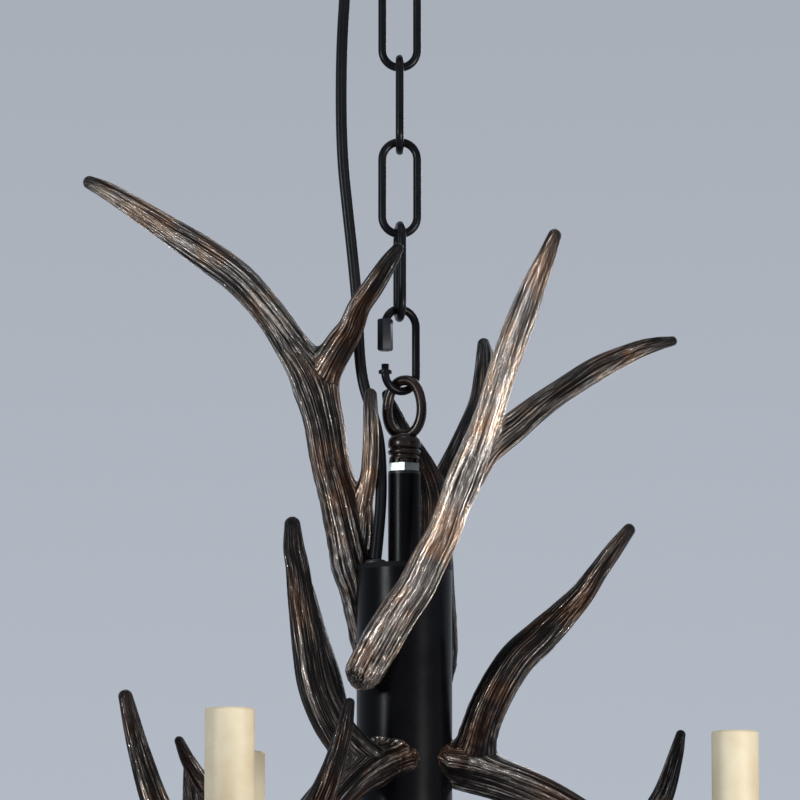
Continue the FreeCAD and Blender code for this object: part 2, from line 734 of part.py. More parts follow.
def make_hub():
    inner = "hub_radius - hub_wall"
    plate_hole = "rod_radius + hole_clearance"
    top = cut(
        cylinder("hub_radius", "hub_plate", z="-hub_plate"),
        cylinder(plate_hole, "3 * hub_plate", z="-2 * hub_plate"),
        cylinder("grommet_neck + hole_clearance", "3 * hub_plate", "grommet_x", "grommet_y",
                 "-2 * hub_plate"),
    )
    piece(place(top, "fixture_shift", 0, f"-{HUB_TOP}"), "hub_top_plate")
    holes = [
        radial("small_screw_radius + hole_clearance", "2 * hub_radius", 0, direction, depth)
        for direction, depth in upper_screw_spots()
    ]
    holes += [
        radial("arm_screw_radius + hole_clearance", "2 * hub_radius", 0, direction, "arm_screw_depth")
        for direction in arm_turns()
    ]
    tube_top = "-column_length - hub_plate"
    wall = cut(
        cylinder("hub_radius", "hub_length", z=f"{tube_top} - hub_length"),
        cylinder(inner, "hub_length + 2", z=f"{tube_top} - hub_length - 1"),
        *holes,
    )
    piece(place(wall, "fixture_shift", 0, f"-{COLUMN_TOP}"), "hub_body")
    floor = cut(cylinder("hub_radius", "hub_plate"), cylinder(plate_hole, "3 * hub_plate", z="-hub_plate"))
    piece(place(floor, "fixture_shift", 0, f"-{HUB_FLOOR}"), "hub_bottom_plate")
    lamp_nut("bottom_nut", "thin_nut_height", "fixture_shift", 0, f"-{HUB_FLOOR} - thin_nut_height")
    bowl = turned(
        [
            ("bowl_radius", 0),
            ("bowl_radius", -2),
            ("bowl_radius * 0.93", "-bowl_depth * 0.45"),
            ("bowl_radius * 0.7", "-bowl_depth * 0.8"),
            ("bowl_radius * 0.4", "-bowl_depth"),
            (plate_hole, "-bowl_depth"),
            (plate_hole, "-bowl_depth + bowl_wall"),
            ("bowl_radius * 0.4 - bowl_wall / 4", "-bowl_depth + bowl_wall"),
            ("bowl_radius * 0.7 - bowl_wall * 0.6", "-bowl_depth * 0.8 + bowl_wall"),
            ("bowl_radius * 0.93 - bowl_wall", "-bowl_depth * 0.45 + bowl_wall * 0.6"),
            ("bowl_radius - bowl_wall", -2),
            ("bowl_radius - bowl_wall", 0),
        ],
        "Bowl",
    )
    piece(place(bowl, "fixture_shift", 0, f"-{HUB_FLOOR}"), "bottom_bowl")
    ball_centre = "finial_radius - finial_height"
    finial = turned(
        [
            ("rod_radius + thread_clearance", 0),
            ("rod_radius + 4.5", 0),
            ("rod_radius + 4.5", -2.5),
            ("rod_radius + 1.4", -4),
            ("rod_radius + 1.4", f"{ball_centre} + finial_radius * 0.8"),
            ("finial_radius * 0.87", f"{ball_centre} + finial_radius * 0.5"),
            ("finial_radius", ball_centre),
            ("finial_radius * 0.87", f"{ball_centre} - finial_radius * 0.5"),
            ("finial_radius * 0.5", f"{ball_centre} - finial_radius * 0.87"),
            (0, "-finial_height"),
            (0, "-9"),
            ("rod_radius + thread_clearance", "-9"),
        ],
        "Finial",
    )
    piece(place(finial, "fixture_shift", 0, f"-{HUB_FLOOR} - bowl_depth"), "finial")
    grommet = turned(
        [
            (0, "-hub_plate - 1"),
            ("grommet_neck", "-hub_plate - 1"),
            ("grommet_neck", 0),
            ("grommet_radius", 0),
            ("grommet_radius", "grommet_height * 0.6"),
            ("grommet_radius - 1", "grommet_height"),
            (0, "grommet_height"),
        ],
        "Grommet",
    )
    piece(place(grommet, "fixture_shift + grommet_x", "grommet_y", f"-{HUB_TOP}"), "cord_grommet")
    make_terminal("hub_terminal_block", "fixture_shift + terminal_offset", f"-{HUB_TOP} - hub_plate")


def make_screws():
    """Screws from inside the hub, their heads against its wall."""
    groups = {
        "upper_antler_screws": [
            (direction, depth, "small_screw_radius", "small_screw_reach")
            for direction, depth in upper_screw_spots()
        ],
        "arm_screws": [
            (direction, "arm_screw_depth", "arm_screw_radius", "arm_screw_reach")
            for direction in arm_turns()
        ],
    }
    for name, screws in groups.items():
        solids = []
        for direction, depth, radius, reach in screws:
            head_radius = f"(1.8 * {radius})"
            seat = f"(sqrt((hub_radius - hub_wall)^2 - {head_radius}^2) - 0.02)"
            start = f"{seat} - screw_head_height"
            head = radial(head_radius, "screw_head_height", start, direction, depth)
            shank = radial(radius, f"hub_radius + {reach} - ({start})", start, direction, depth)
            solids.append(joined(head, shank))
        group = doc.addObject("Part::Compound", name)
        group.Links = solids
        piece(place(group, "fixture_shift", 0, f"-{COLUMN_TOP}"), name)


# ---- Antlers ----
def finish_antler(name, shape, turn=0):
    antler_piece = doc.addObject("Part::Feature", name)
    antler_piece.Shape = shape
    place(antler_piece, "fixture_shift", 0, f"-{COLUMN_TOP}", turn=turn)
    piece(antler_piece, name)


def hub_saddle():
    """The hub as a cutter, so that an antler's seat fits round it."""
    radius = size("hub_radius") + size("saddle_gap")
    top = -size("column_length") + size("saddle_gap")
    length = size("hub_length") + 2 * size("hub_plate") + 2 * size("saddle_gap")
    return Part.makeCylinder(radius, length, FreeCAD.Vector(0, 0, top - length))


def screw_bore(direction, depth, radius, reach):
    out = FreeCAD.Vector(math.cos(math.radians(direction)), math.sin(math.radians(direction)), 0)
    down = FreeCAD.Vector(0, 0, -depth)
    far = size("hub_radius") + size(reach) + 1
    return bar(size(radius) + size("thread_clearance"), down, down + out * far)


def make_upper_antlers():
    castings = {
        "antler_left": (LEFT_BEAM, LEFT_INNER_TINE, LEFT_BROW_TINE),
        "antler_front": (FRONT_BEAM, FRONT_OUTER_TINE),
        "antler_back": (BACK_BEAM, BACK_INNER_TINE),
    }
    spots = upper_screw_spots()
    for number, (name, limbs) in enumerate(castings.items()):
        shape = antler(*limbs).cut(hub_saddle())
        for direction, depth in spots[2 * number:2 * number + 2]:
            shape = shape.cut(screw_bore(direction, depth, "small_screw_radius", "small_screw_reach"))
        finish_antler(name, shape)


def fitted(stations):
    """An arm's stations, moved so that its root stays at its screw and its beam under its lamp."""
    root_down = size("arm_screw_depth") - size("screw_below_root") + ROOT_STATION[2]
    lamp_down = size("lamp_seat_depth") + size("seat_above_beam") + LAMP_STATION[2]
    lamp_out = size("lamp_reach") - LAMP_STATION[0]
    rows = []
    for x, y, z, radius in stations:
        share = min(1, max(0, (x - size("hub_radius")) / (LAMP_STATION[0] - size("hub_radius"))))
        rows.append((x + share * lamp_out, y, z - root_down * (1 - share) - lamp_down * share, radius))
    return rows


def make_arms():
    brow_tines = {"right": RIGHT_ARM_BROW_TINE, "back": LEFT_ARM_BROW_TINE, "front": LEFT_ARM_BROW_TINE}
    seat = FreeCAD.Vector(size("lamp_reach"), 0, -size("lamp_seat_depth"))
    up = FreeCAD.Vector(0, 0, 1)
    spot_face = bar(size("cup_foot_radius") + 0.4, seat, seat + up * size("cup_clearing"))
    rod_hole = bar(size("rod_radius") + size("thread_clearance"), seat - up * (size("thread_grip") + 1), seat)
    bore = screw_bore(0, size("arm_screw_depth"), "arm_screw_radius", "arm_screw_reach")
    for direction, brow_tine in brow_tines.items():
        shape = antler(*(fitted(stations) for stations in (ARM_BEAM, ARM_SIDE_TINE, brow_tine))).cut(hub_saddle())
        shape = shape.cut(spot_face).cut(rod_hole).cut(bore)
        finish_antler(f"arm_antler_{direction}", shape, f"arm_turn_{direction}")


# ---- Lamps on the arms ----
def make_lamps():
    for number, direction in enumerate(("right", "back", "front"), start=1):
        x = f"fixture_shift + lamp_reach * cos(arm_turn_{direction})"
        y = f"lamp_reach * sin(arm_turn_{direction})"
        seat = f"({COLUMN_TOP} + lamp_seat_depth)"
        floor = "cup_foot_height + cup_wall"
        threaded_rod(f"lamp_rod_{number}", "lamp_rod_length", x, y, f"-{seat} - thread_grip")
        cup = turned(
            [
                ("rod_radius + hole_clearance", 0),
                ("cup_foot_radius", 0),
                ("cup_foot_radius - 1.5", "cup_foot_height * 0.5"),
                ("cup_foot_radius + 1", "cup_foot_height"),
                ("cup_floor_radius", "cup_foot_height"),
                ("cup_radius - 1.6", "cup_height - 3.2"),
                ("cup_radius", "cup_height"),
                ("cup_radius - cup_wall", "cup_height"),
                ("cup_radius - 1.6 - cup_wall", "cup_height - 2.6"),
                ("cup_floor_radius - cup_wall / 2", floor),
                ("rod_radius + hole_clearance", floor),
            ],
            "DripCup",
        )
        piece(place(cup, x, y, f"-{seat}"), f"drip_cup_{number}")
        holder = turned(
            [
                ("rod_radius + thread_clearance", 0),
                ("holder_radius", 0),
                ("holder_radius", "holder_height * 0.3"),
                ("holder_radius - 0.6", "holder_height * 0.3 + 0.6"),
                ("holder_radius - 0.6", "holder_height - 1"),
                ("holder_radius - 1.6", "holder_height"),
                ("lamp_bore_radius", "holder_height"),
                ("lamp_bore_radius", "holder_height - lamp_bore_length"),
                (0, "holder_height - lamp_bore_length"),
                (0, "lamp_rod_length - thread_grip - cup_foot_height"),
                ("rod_radius + thread_clearance", "lamp_rod_length - thread_grip - cup_foot_height"),
            ],
            "LampHolder",
        )
        piece(place(holder, x, y, f"-{seat} + {floor}"), f"lamp_holder_{number}")
        bore = "holder_radius + sleeve_clearance"
        sleeve = turned(
            [
                (bore, 0),
                (f"{bore} + sleeve_wall", 0),
                (f"{bore} + sleeve_wall", "sleeve_height - 1"),
                (f"{bore} + sleeve_wall - 0.6", "sleeve_height"),
                (f"{bore} - 1.2", "sleeve_height"),
                (f"{bore} - 1.2", "sleeve_height - sleeve_lip"),
                (bore, "sleeve_height - sleeve_lip"),
            ],
            "CandleSleeve",
        )
        piece(place(sleeve, x, y, f"-{seat} + {floor} + sleeve_rest_gap"), f"candle_sleeve_{number}")


# ---- Supply cord ----
def rounded_path(route):
    """Straight runs joined by arcs tangent to them, each as large as its two runs allow."""
    points = [FreeCAD.Vector(*point) for point in route]
    edges, radii = [], []
    start = points[0]
    for before, corner, after in zip(points, points[1:], points[2:]):
        back, ahead = before - corner, after - corner
        reach = 0.45 * min(back.Length, ahead.Length)
        back.normalize()
        ahead.normalize()
        half_turn = (math.pi - back.getAngle(ahead)) / 2
        radius = reach / math.tan(half_turn)
        bisector = (back + ahead).normalize()
        centre = corner + bisector * (radius / math.cos(half_turn))
        arc = Part.Arc(corner + back * reach, centre - bisector * radius, corner + ahead * reach)
        edges.append(Part.LineSegment(start, corner + back * reach).toShape())
        edges.append(arc.toShape())
        radii.append(radius)
        start = corner + ahead * reach
    edges.append(Part.LineSegment(start, points[-1]).toShape())
    return Part.Wire(edges), radii


def make_cord():
    path, radii = rounded_path(CORD_ROUTE)
    start = FreeCAD.Vector(*CORD_ROUTE[0])
    direction = FreeCAD.Vector(*CORD_ROUTE[1]) - start
    ring = Part.Wire(Part.makeCircle(size("cord_radius"), start, direction))
    tube = path.makePipeShell([ring], True, False)
    expected = math.pi * size("cord_radius") ** 2 * path.Length
    print("cord: length %.1f, volume / (section x length) %.4f" % (path.Length, tube.Volume / expected))
    print("cord: radii " + " ".join("%.0f" % radius for radius in radii))
    cord = doc.addObject("Part::Feature", "power_cord")
    cord.Shape = tube
    piece(cord, "power_cord")


def export_pieces():
    """Check every object, then write each finished piece."""
    doc.recompute()
    failed = [thing.Label for thing in doc.Objects if {"Invalid", "Error"} & set(thing.State)]
    if failed:
        raise RuntimeError(f"these objects failed: {failed}")
    for thing in finished:
        if thing.Shape.isNull() or not thing.Shape.isValid() or not thing.Shape.Solids:
            raise RuntimeError(f"{thing.Label} has no valid solid")
    os.makedirs("parts", exist_ok=True)
    for thing in finished:
        thing.Shape.exportStep(os.path.join("parts", thing.Label + ".step"))
        bounds = thing.Shape.BoundBox
        print(
            "%-22s solids %2d  volume %9.0f  z %8.2f to %8.2f"
            % (thing.Label, len(thing.Shape.Solids), thing.Shape.Volume, bounds.ZMin, bounds.ZMax)
        )


make_bracket()
make_canopy()
threaded_rod("canopy_rod", "canopy_depth + thread_grip - 0.5", 0, 0, "-canopy_depth - thread_grip")
lamp_nut("bracket_nut", "thin_nut_height", 0, 0, "-bracket_thickness - thin_nut_height")
make_loop("canopy_loop", 0, "canopy_depth", 90, upside_down=True)
make_cord_grip()
make_terminal("ceiling_terminal_block", "terminal_offset", "-bracket_thickness")
make_links()
make_quick_link()
make_loop("fixture_loop", "fixture_shift", LOOP_FOOT, "loop_turn", upside_down=False)
make_lock_washer()
make_column()
make_hub()
make_screws()
make_upper_antlers()
make_arms()
make_lamps()
make_cord()
export_pieces()
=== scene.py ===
# %% [markdown]
# ## The frame
# The chandelier's hard parts come packed, as a fixed frame of bodies that swing on the chain. We
# load that frame first. Nothing that we add may reach outside it.

# %% Load the frame
import json
import math
from functools import partial

import bmesh
import bpy
import numpy as np
from mathutils import Euler, Matrix, Vector, noise


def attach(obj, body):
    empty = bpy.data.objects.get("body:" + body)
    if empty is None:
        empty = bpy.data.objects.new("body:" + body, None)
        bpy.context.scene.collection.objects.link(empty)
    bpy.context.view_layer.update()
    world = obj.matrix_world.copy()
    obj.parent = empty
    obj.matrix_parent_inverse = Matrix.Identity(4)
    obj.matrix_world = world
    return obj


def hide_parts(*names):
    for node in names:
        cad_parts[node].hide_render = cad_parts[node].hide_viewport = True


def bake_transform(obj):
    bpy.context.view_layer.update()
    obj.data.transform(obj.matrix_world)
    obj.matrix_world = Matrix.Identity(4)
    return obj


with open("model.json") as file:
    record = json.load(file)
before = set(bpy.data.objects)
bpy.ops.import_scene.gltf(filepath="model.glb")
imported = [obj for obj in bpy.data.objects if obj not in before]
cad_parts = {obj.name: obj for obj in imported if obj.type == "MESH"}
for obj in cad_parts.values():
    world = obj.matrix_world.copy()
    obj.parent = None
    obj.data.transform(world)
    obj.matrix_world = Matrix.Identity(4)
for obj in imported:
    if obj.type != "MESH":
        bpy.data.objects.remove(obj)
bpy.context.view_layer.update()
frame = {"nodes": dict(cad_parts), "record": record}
scene = bpy.context.scene
MM = 0.001
print("frame loaded:", len(frame["nodes"]), "nodes")

# %% [markdown]
# ## Where the pieces hang
# Everything hangs below the ceiling, which is the plane Z = 0. The chain's axis is X = 0, and the
# column hangs 2.7 mm to the right of it. Heights on the fixture count from the column's top end,
# so that an antler's points read as they would on a drawing of the antler.

# %% Levels
COLUMN_X = 2.7
COLUMN_TOP = -363.6
HUB_TOP = -53  # from the column's top, as are the antlers' heights
HUB_RADIUS = 27.5
print("column top at %.1f mm, hub top at %.1f mm" % (COLUMN_TOP, COLUMN_TOP + HUB_TOP))

# %% [markdown]
# ## The camera
# The photograph looks up at the fixture a little, about 8 degrees, from far away: its verticals
# stay upright. A long lens from 3 m does the same. The picture takes in 464 mm at the column.

# %% Camera
PITCH = math.radians(8)
DISTANCE = 3000
VIEW_WIDTH = 464
SENSOR = 36
AIM = Vector((0.15, 0, -319.8))
lens = bpy.data.cameras.new("photo_camera")
lens.sensor_width = SENSOR
lens.lens = SENSOR * DISTANCE / VIEW_WIDTH
lens.clip_end = 50
camera = bpy.data.objects.new("photo_camera", lens)
camera.location = (AIM - DISTANCE * Vector((0, math.cos(PITCH), math.sin(PITCH)))) * MM
camera.rotation_euler = Euler((math.pi / 2 + PITCH, 0, 0))
scene.collection.objects.link(camera)
scene.camera = camera
scene.view_settings.view_transform = "Standard"
print("lens %.0f mm" % lens.lens)

# %% [markdown]
# ## The backdrop
# The backdrop is the world itself, so it stands behind the object from every side. The camera, and
# the rays that a shiny or clear surface sends out, see a pale blue grey that gets a little darker
# upwards. All other rays see a faint light, which only fills the shadows.

# %% A helper that maps one range of values to another


def remap(tree, source, low, high, new_low, new_high):
    node = tree.nodes.new("ShaderNodeMapRange")
    node.inputs["From Min"].default_value = low
    node.inputs["From Max"].default_value = high
    node.inputs["To Min"].default_value = new_low
    node.inputs["To Max"].default_value = new_high
    tree.links.new(source, node.inputs["Value"])
    return node.outputs[0]


# %% [markdown]
# The world's nodes: two backgrounds, mixed by the kind of ray that looks at them.

# %% World
world = bpy.data.worlds.new("studio")
scene.world = world
world.use_nodes = True
nodes, links = world.node_tree.nodes, world.node_tree.links
nodes.clear()
ambient = nodes.new("ShaderNodeBackground")
ambient.inputs["Color"].default_value = (0.82, 0.88, 0.96, 1)
ambient.inputs["Strength"].default_value = 0.18
backdrop = nodes.new("ShaderNodeBackground")
backdrop.inputs["Color"].default_value = (0.415, 0.454, 0.514, 1)
heading = nodes.new("ShaderNodeSeparateXYZ")
links.new(nodes.new("ShaderNodeTexCoord").outputs["Generated"], heading.inputs[0])
fade = remap(world.node_tree, heading.outputs["Z"], 0.06, 0.215, 1.08, 0.94)
links.new(fade, backdrop.inputs["Strength"])
light_path = nodes.new("ShaderNodeLightPath")
seen = light_path.outputs["Is Camera Ray"]
for ray in ("Is Glossy Ray", "Is Transmission Ray"):
    larger = nodes.new("ShaderNodeMath")
    larger.operation = "MAXIMUM"
    links.new(seen, larger.inputs[0])
    links.new(light_path.outputs[ray], larger.inputs[1])
    seen = larger.outputs[0]
mixed = nodes.new("ShaderNodeMixShader")
links.new(seen, mixed.inputs[0])
links.new(ambient.outputs[0], mixed.inputs[1])
links.new(backdrop.outputs[0], mixed.inputs[2])
links.new(mixed.outputs[0], nodes.new("ShaderNodeOutputWorld").inputs["Surface"])
print("world nodes:", len(nodes))

# %% [markdown]
# ## The lamps
# In the photograph the antlers are bright on their lower right and dark on their upper left. So
# the key stands low on the right. A weaker, cooler lamp fills from the left, and two faint ones
# from above and behind draw the edges.

# %% Lamps
MIDDLE = Vector((0, 0, -0.35))
LAMPS = [
    # name, place in metres, side in metres, watts, colour
    ("key_right", (1.5, -1.5, -0.95), 0.5, 42, (1, 0.96, 0.91)),
    ("fill_left", (-1.6, -1.5, -0.2), 0.5, 22, (0.92, 0.96, 1)),
    ("top", (-0.3, -0.6, 1.5), 0.8, 5, (1, 1, 1)),
    ("back", (0.6, 1.8, 0.3), 0.8, 6, (1, 1, 1)),
]
for name, place, side, watts, colour in LAMPS:
    light = bpy.data.lights.new(name, "AREA")
    light.size = side
    light.energy = watts
    light.color = colour
    holder = bpy.data.objects.new(name, light)
    scene.collection.objects.link(holder)
    holder.location = place
    holder.rotation_euler = (MIDDLE - Vector(place)).to_track_quat("-Z", "Y").to_euler()
print("lamps:", len(LAMPS))

# %% [markdown]
# ## The floor
# A round pale floor well below the fixture takes its shadow. It is a stage, not a piece of the
# object.

# %% Floor
FLOOR_RADIUS = 1.5
FLOOR_LEVEL = -1.25
bm = bmesh.new()
bmesh.ops.create_circle(bm, cap_ends=True, segments=96, radius=FLOOR_RADIUS)
bmesh.ops.translate(bm, verts=bm.verts, vec=(0, 0, FLOOR_LEVEL))
floor_mesh = bpy.data.meshes.new("floor")
bm.to_mesh(floor_mesh)
bm.free()
floor = bpy.data.objects.new("floor", floor_mesh)
scene.collection.objects.link(floor)
pale_floor = bpy.data.materials.new("pale_floor")
pale_floor.use_nodes = True
shader = pale_floor.node_tree.nodes["Principled BSDF"]
shader.inputs["Base Color"].default_value = (0.62, 0.65, 0.70, 1)
shader.inputs["Roughness"].default_value = 0.9
floor_mesh.materials.append(pale_floor)
print("floor: %.1f m across" % (2 * FLOOR_RADIUS))

# %% [markdown]
# ## Finishes
# Materials here are made of a few kinds of node. Each helper adds one and gives its output: a
# colour ramp, a noise that may be stretched along an axis, and a bump that may stand on another
# bump.

# %% Node helpers


def ramp(tree, source, stops):
    node = tree.nodes.new("ShaderNodeValToRGB")
    elements = node.color_ramp.elements
    while len(elements) < len(stops):
        elements.new(0.5)
    for element, (position, colour) in zip(elements, stops):
        element.position = position
        element.color = (*colour, 1)
    tree.links.new(source, node.inputs[0])
    return node.outputs[0]


def noise_of(tree, vector, scale, detail, rough, stretch=None):
    if stretch is not None:
        mapping = tree.nodes.new("ShaderNodeMapping")
        mapping.inputs["Scale"].default_value = stretch
        tree.links.new(vector, mapping.inputs["Vector"])
        vector = mapping.outputs[0]
    node = tree.nodes.new("ShaderNodeTexNoise")
    node.inputs["Scale"].default_value = scale
    node.inputs["Detail"].default_value = detail
    node.inputs["Roughness"].default_value = rough
    tree.links.new(vector, node.inputs["Vector"])
    return node.outputs["Fac"]


def bump_of(tree, height, strength, distance, shader, before=None):
    node = tree.nodes.new("ShaderNodeBump")
    node.inputs["Strength"].default_value = strength
    node.inputs["Distance"].default_value = distance
    tree.links.new(height, node.inputs["Height"])
    if before is not None:
        tree.links.new(before, node.inputs["Normal"])
    tree.links.new(node.outputs[0], shader.inputs["Normal"])
    return node.outputs[0]


# %% [markdown]
# Most metal here is painted or plated. One helper makes each finish: a base colour that drifts
# between two tones over a soft noise, a roughness that drifts with it, and a fine bump.

# %% A helper for painted and plated finishes
FINE_BUMP = 0.0002  # metres


def finish(name, dark, light, metallic, rough, shine=0.5, grain=60, bump=0.08):
    material = bpy.data.materials.new(name)
    material.use_nodes = True
    tree = material.node_tree
    shader = tree.nodes["Principled BSDF"]
    where = tree.nodes.new("ShaderNodeTexCoord").outputs["Object"]
    drift = noise_of(tree, where, grain, 5, 0.6)
    fine = noise_of(tree, where, grain * 18, 3, 0.6)
    tone = ramp(tree, drift, [(0.32, dark), (0.68, light)])
    tree.links.new(tone, shader.inputs["Base Color"])
    tree.links.new(remap(tree, drift, 0.25, 0.75, *rough), shader.inputs["Roughness"])
    shader.inputs["Metallic"].default_value = metallic
    shader.inputs["Specular IOR Level"].default_value = shine
    bump_of(tree, fine, bump, FINE_BUMP, shader)
    return material


# %% [markdown]
# Each finish has two tones, a share of metal and a range of roughness. The blacks shine little, so
# that the pale backdrop doesn't lie on them as a grey veil.

# %% The finishes
chain_black = finish("chain_black", (0.0030, 0.0030, 0.0042), (0.007, 0.007, 0.010),
                     0.0, (0.24, 0.36), shine=0.13)
gloss_black = finish("gloss_black", (0.0015, 0.0015, 0.0022), (0.0028, 0.0028, 0.0042),
                     0.0, (0.24, 0.32), shine=0.08, bump=0.01)
matt_black = finish("matt_black", (0.003, 0.003, 0.004), (0.006, 0.006, 0.007),
                    0.0, (0.60, 0.75), shine=0.15)
satin_black = finish("satin_black", (0.006, 0.0055, 0.0055), (0.013, 0.011, 0.010),
                     0.1, (0.30, 0.42), shine=0.3)
nut_grey = finish("sleeve_nut_grey", (0.010, 0.010, 0.013), (0.026, 0.027, 0.034),
                  0.2, (0.30, 0.42), shine=0.3)
loop_bronze = finish("loop_bronze", (0.005, 0.0038, 0.0035), (0.030, 0.015, 0.009),
                     0.25, (0.18, 0.34), shine=0.4, bump=0.1)
zinc = finish("bright_zinc", (0.40, 0.45, 0.44), (0.52, 0.58, 0.57), 1.0, (0.24, 0.34), bump=0.01)
steel = finish("plain_steel", (0.30, 0.30, 0.31), (0.48, 0.48, 0.49), 1.0, (0.30, 0.45), grain=140)
aged_iron = finish("aged_iron", (0.016, 0.011, 0.008), (0.060, 0.038, 0.026),
                   0.5, (0.35, 0.60), bump=0.3)
nylon = finish("black_nylon", (0.010, 0.010, 0.010), (0.020, 0.020, 0.020), 0.0, (0.40, 0.55))
terminal_white = finish("terminal_white", (0.62, 0.61, 0.57), (0.74, 0.73, 0.70), 0.0, (0.35, 0.50))
ivory = finish("ivory_sleeve", (0.60, 0.50, 0.33), (0.74, 0.66, 0.48), 0.0, (0.42, 0.60), grain=30)
holder_brown = finish("lamp_holder_brown", (0.016, 0.012, 0.010), (0.026, 0.020, 0.016),
                      0.0, (0.35, 0.5))
print("materials:", len(bpy.data.materials))

# %% [markdown]
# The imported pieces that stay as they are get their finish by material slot. Three small ones look
# different from the rest of their slot and are named one by one.

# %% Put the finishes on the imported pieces
PLAIN = {
    "steel_plain": steel, "canopy_paint": satin_black, "zinc_bright": zinc,
    "chain_black": chain_black, "loop_bronze": loop_bronze, "column_gloss": gloss_black,
    "antler_resin": aged_iron, "cord_black": nylon, "nylon_black": nylon,
    "terminal_white": terminal_white, "holder_dark": holder_brown, "sleeve_ivory": ivory,
    "cup_dark": aged_iron,
}
OWN = {"lock_washer": loop_bronze, "column_washer": nut_grey, "hub_top_plate": matt_black}
slot_of = {part["node"]: part["material_slot"] for part in frame["record"]["subparts"]}
for name, node in frame["nodes"].items():
    node.data.materials.clear()
    node.data.materials.append(OWN.get(name, PLAIN[slot_of[name]]))
print("packed pieces with a finish:", len(slot_of))

# %% [markdown]
# ## Shaping helpers
# Shapes are built in millimetres in a bmesh. These helpers turn one into an object in metres, and
# set it on the body that carries it: the body moves, and the piece goes along.

# %% Helpers: make an object, and keep it as a piece
SHARP = math.radians(38)


def faces_out(bm):
    bmesh.ops.recalc_face_normals(bm, faces=bm.faces)


def to_object(bm, name, material):
    """Turn a bmesh in millimetres into an object in metres."""
    faces_out(bm)
    bmesh.ops.scale(bm, vec=(MM, MM, MM), verts=bm.verts)
    mesh = bpy.data.meshes.new(name)
    bm.to_mesh(mesh)
    bm.free()
    mesh.materials.append(material)
    mesh.shade_smooth()
    mesh.set_sharp_from_angle(angle=SHARP)
    made = bpy.data.objects.new(name, mesh)
    scene.collection.objects.link(made)
    return made


def keep(bm, name, material, body, stands_for):
    """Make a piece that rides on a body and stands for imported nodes."""
    piece = to_object(bm, name, material)
    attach(piece, body)
    if stands_for:
        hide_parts(*stands_for)


# %% [markdown]
# Bars, cords and antlers are all rows of circles that are bridged. A circle is set square to its
# way by a turn, whose rows are two directions across the way and the way itself.

# %% Helpers: circles along a way
BAR_SIDES = 20


def edges_of(verts):
    """The edges at these corners, each once and in a fixed order."""
    return list(dict.fromkeys(e for v in verts for e in v.link_edges))


def section(bm, centre, turn, radius, capped, press=None):
    """One circle square to its way; gives its edges. press changes the circle before it is set."""
    verts = bmesh.ops.create_circle(bm, cap_ends=capped, segments=BAR_SIDES, radius=radius)["verts"]
    if press:
        press(verts)
    matrix = Matrix.Translation(centre) @ Matrix(turn).transposed().to_4x4()
    bmesh.ops.transform(bm, matrix=matrix, verts=verts)
    return edges_of(verts)


def bridge(bm, rings):
    for first, second in zip(rings, rings[1:]):
        bmesh.ops.bridge_loops(bm, edges=first + second)


def sweep(bm, centres, radii, across, closed=False, press=None):
    """Circles along a path, bridged. across is a direction that the path never takes."""
    last = len(centres) - 1
    rings = []
    for i, (centre, radius) in enumerate(zip(centres, radii)):
        before = centres[i - 1] if closed or i else centre
        after = centres[(i + 1) % (last + 1)] if closed or i < last else centre
        along = (after - before).normalized()
        side = (across - along * along.dot(across)).normalized()
        capped = not closed and i in (0, last)
        rings.append(section(bm, centre, (side, along.cross(side), along), radius, capped, press))
    bridge(bm, rings + rings[:1] if closed else rings)


# %% [markdown]
# Turned pieces are spun from a half profile, and an oval link is swept round with two bends of
# half a turn each and two straight legs.

# %% Helpers: turn a profile, sweep an oval ring
BEND_STEPS = 20


def turned(bm, profile, steps, at=(0, 0, 0)):
    """Spin a (radius, height) profile about the Z axis and move it into place."""
    others = set(bm.verts)
    verts = [bm.verts.new((radius, 0, height)) for radius, height in profile]
    edges = [bm.edges.new(pair) for pair in zip(verts, verts[1:])]
    bmesh.ops.spin(bm, geom=verts + edges, cent=(0, 0, 0), axis=(0, 0, 1), angle=2 * math.pi,
                   steps=steps, use_merge=True)
    bmesh.ops.remove_doubles(bm, verts=[v for v in bm.verts if v not in others], dist=0.001)
    bmesh.ops.translate(bm, verts=[v for v in bm.verts if v not in others], vec=at)


def oval_ring(bm, width, length, wire):
    """A closed oval ring of round bar, standing in the XZ plane about the origin."""
    leg = (width - wire) / 2
    half = (length - width) / 2
    circle = bmesh.ops.create_circle(bm, segments=BAR_SIDES, radius=wire / 2)["verts"]
    bmesh.ops.translate(bm, verts=circle, vec=(leg, 0, -half))
    loop = edges_of(circle)
    for end in (1, -1):
        out = bmesh.ops.extrude_edge_only(bm, edges=loop)["geom"]
        rim = [g for g in out if isinstance(g, bmesh.types.BMVert)]
        bmesh.ops.translate(bm, verts=rim, vec=(0, 0, end * 2 * half))
        loop = [g for g in out
                if isinstance(g, bmesh.types.BMEdge) and all(v in rim for v in g.verts)]
        last = bmesh.ops.spin(bm, geom=rim + loop, cent=(0, 0, end * half), axis=(0, 1, 0),
                              angle=-math.pi, steps=BEND_STEPS)["geom_last"]
        loop = [g for g in last if isinstance(g, bmesh.types.BMEdge)]
    bmesh.ops.remove_doubles(bm, verts=bm.verts, dist=0.01)


# %% [markdown]
# ## Antlers
# Each antler is a casting of several limbs that melt into each other. A limb is a line of
# stations, and the skin is found in three steps: coarse tubes are remeshed into one closed skin,
# every point of that skin is drawn to the smooth union of the limbs, and grooves and knobs that
# run along the limb are cut into it. The height of each ridge is kept as an attribute, so that the
# paint can be rubbed off there.

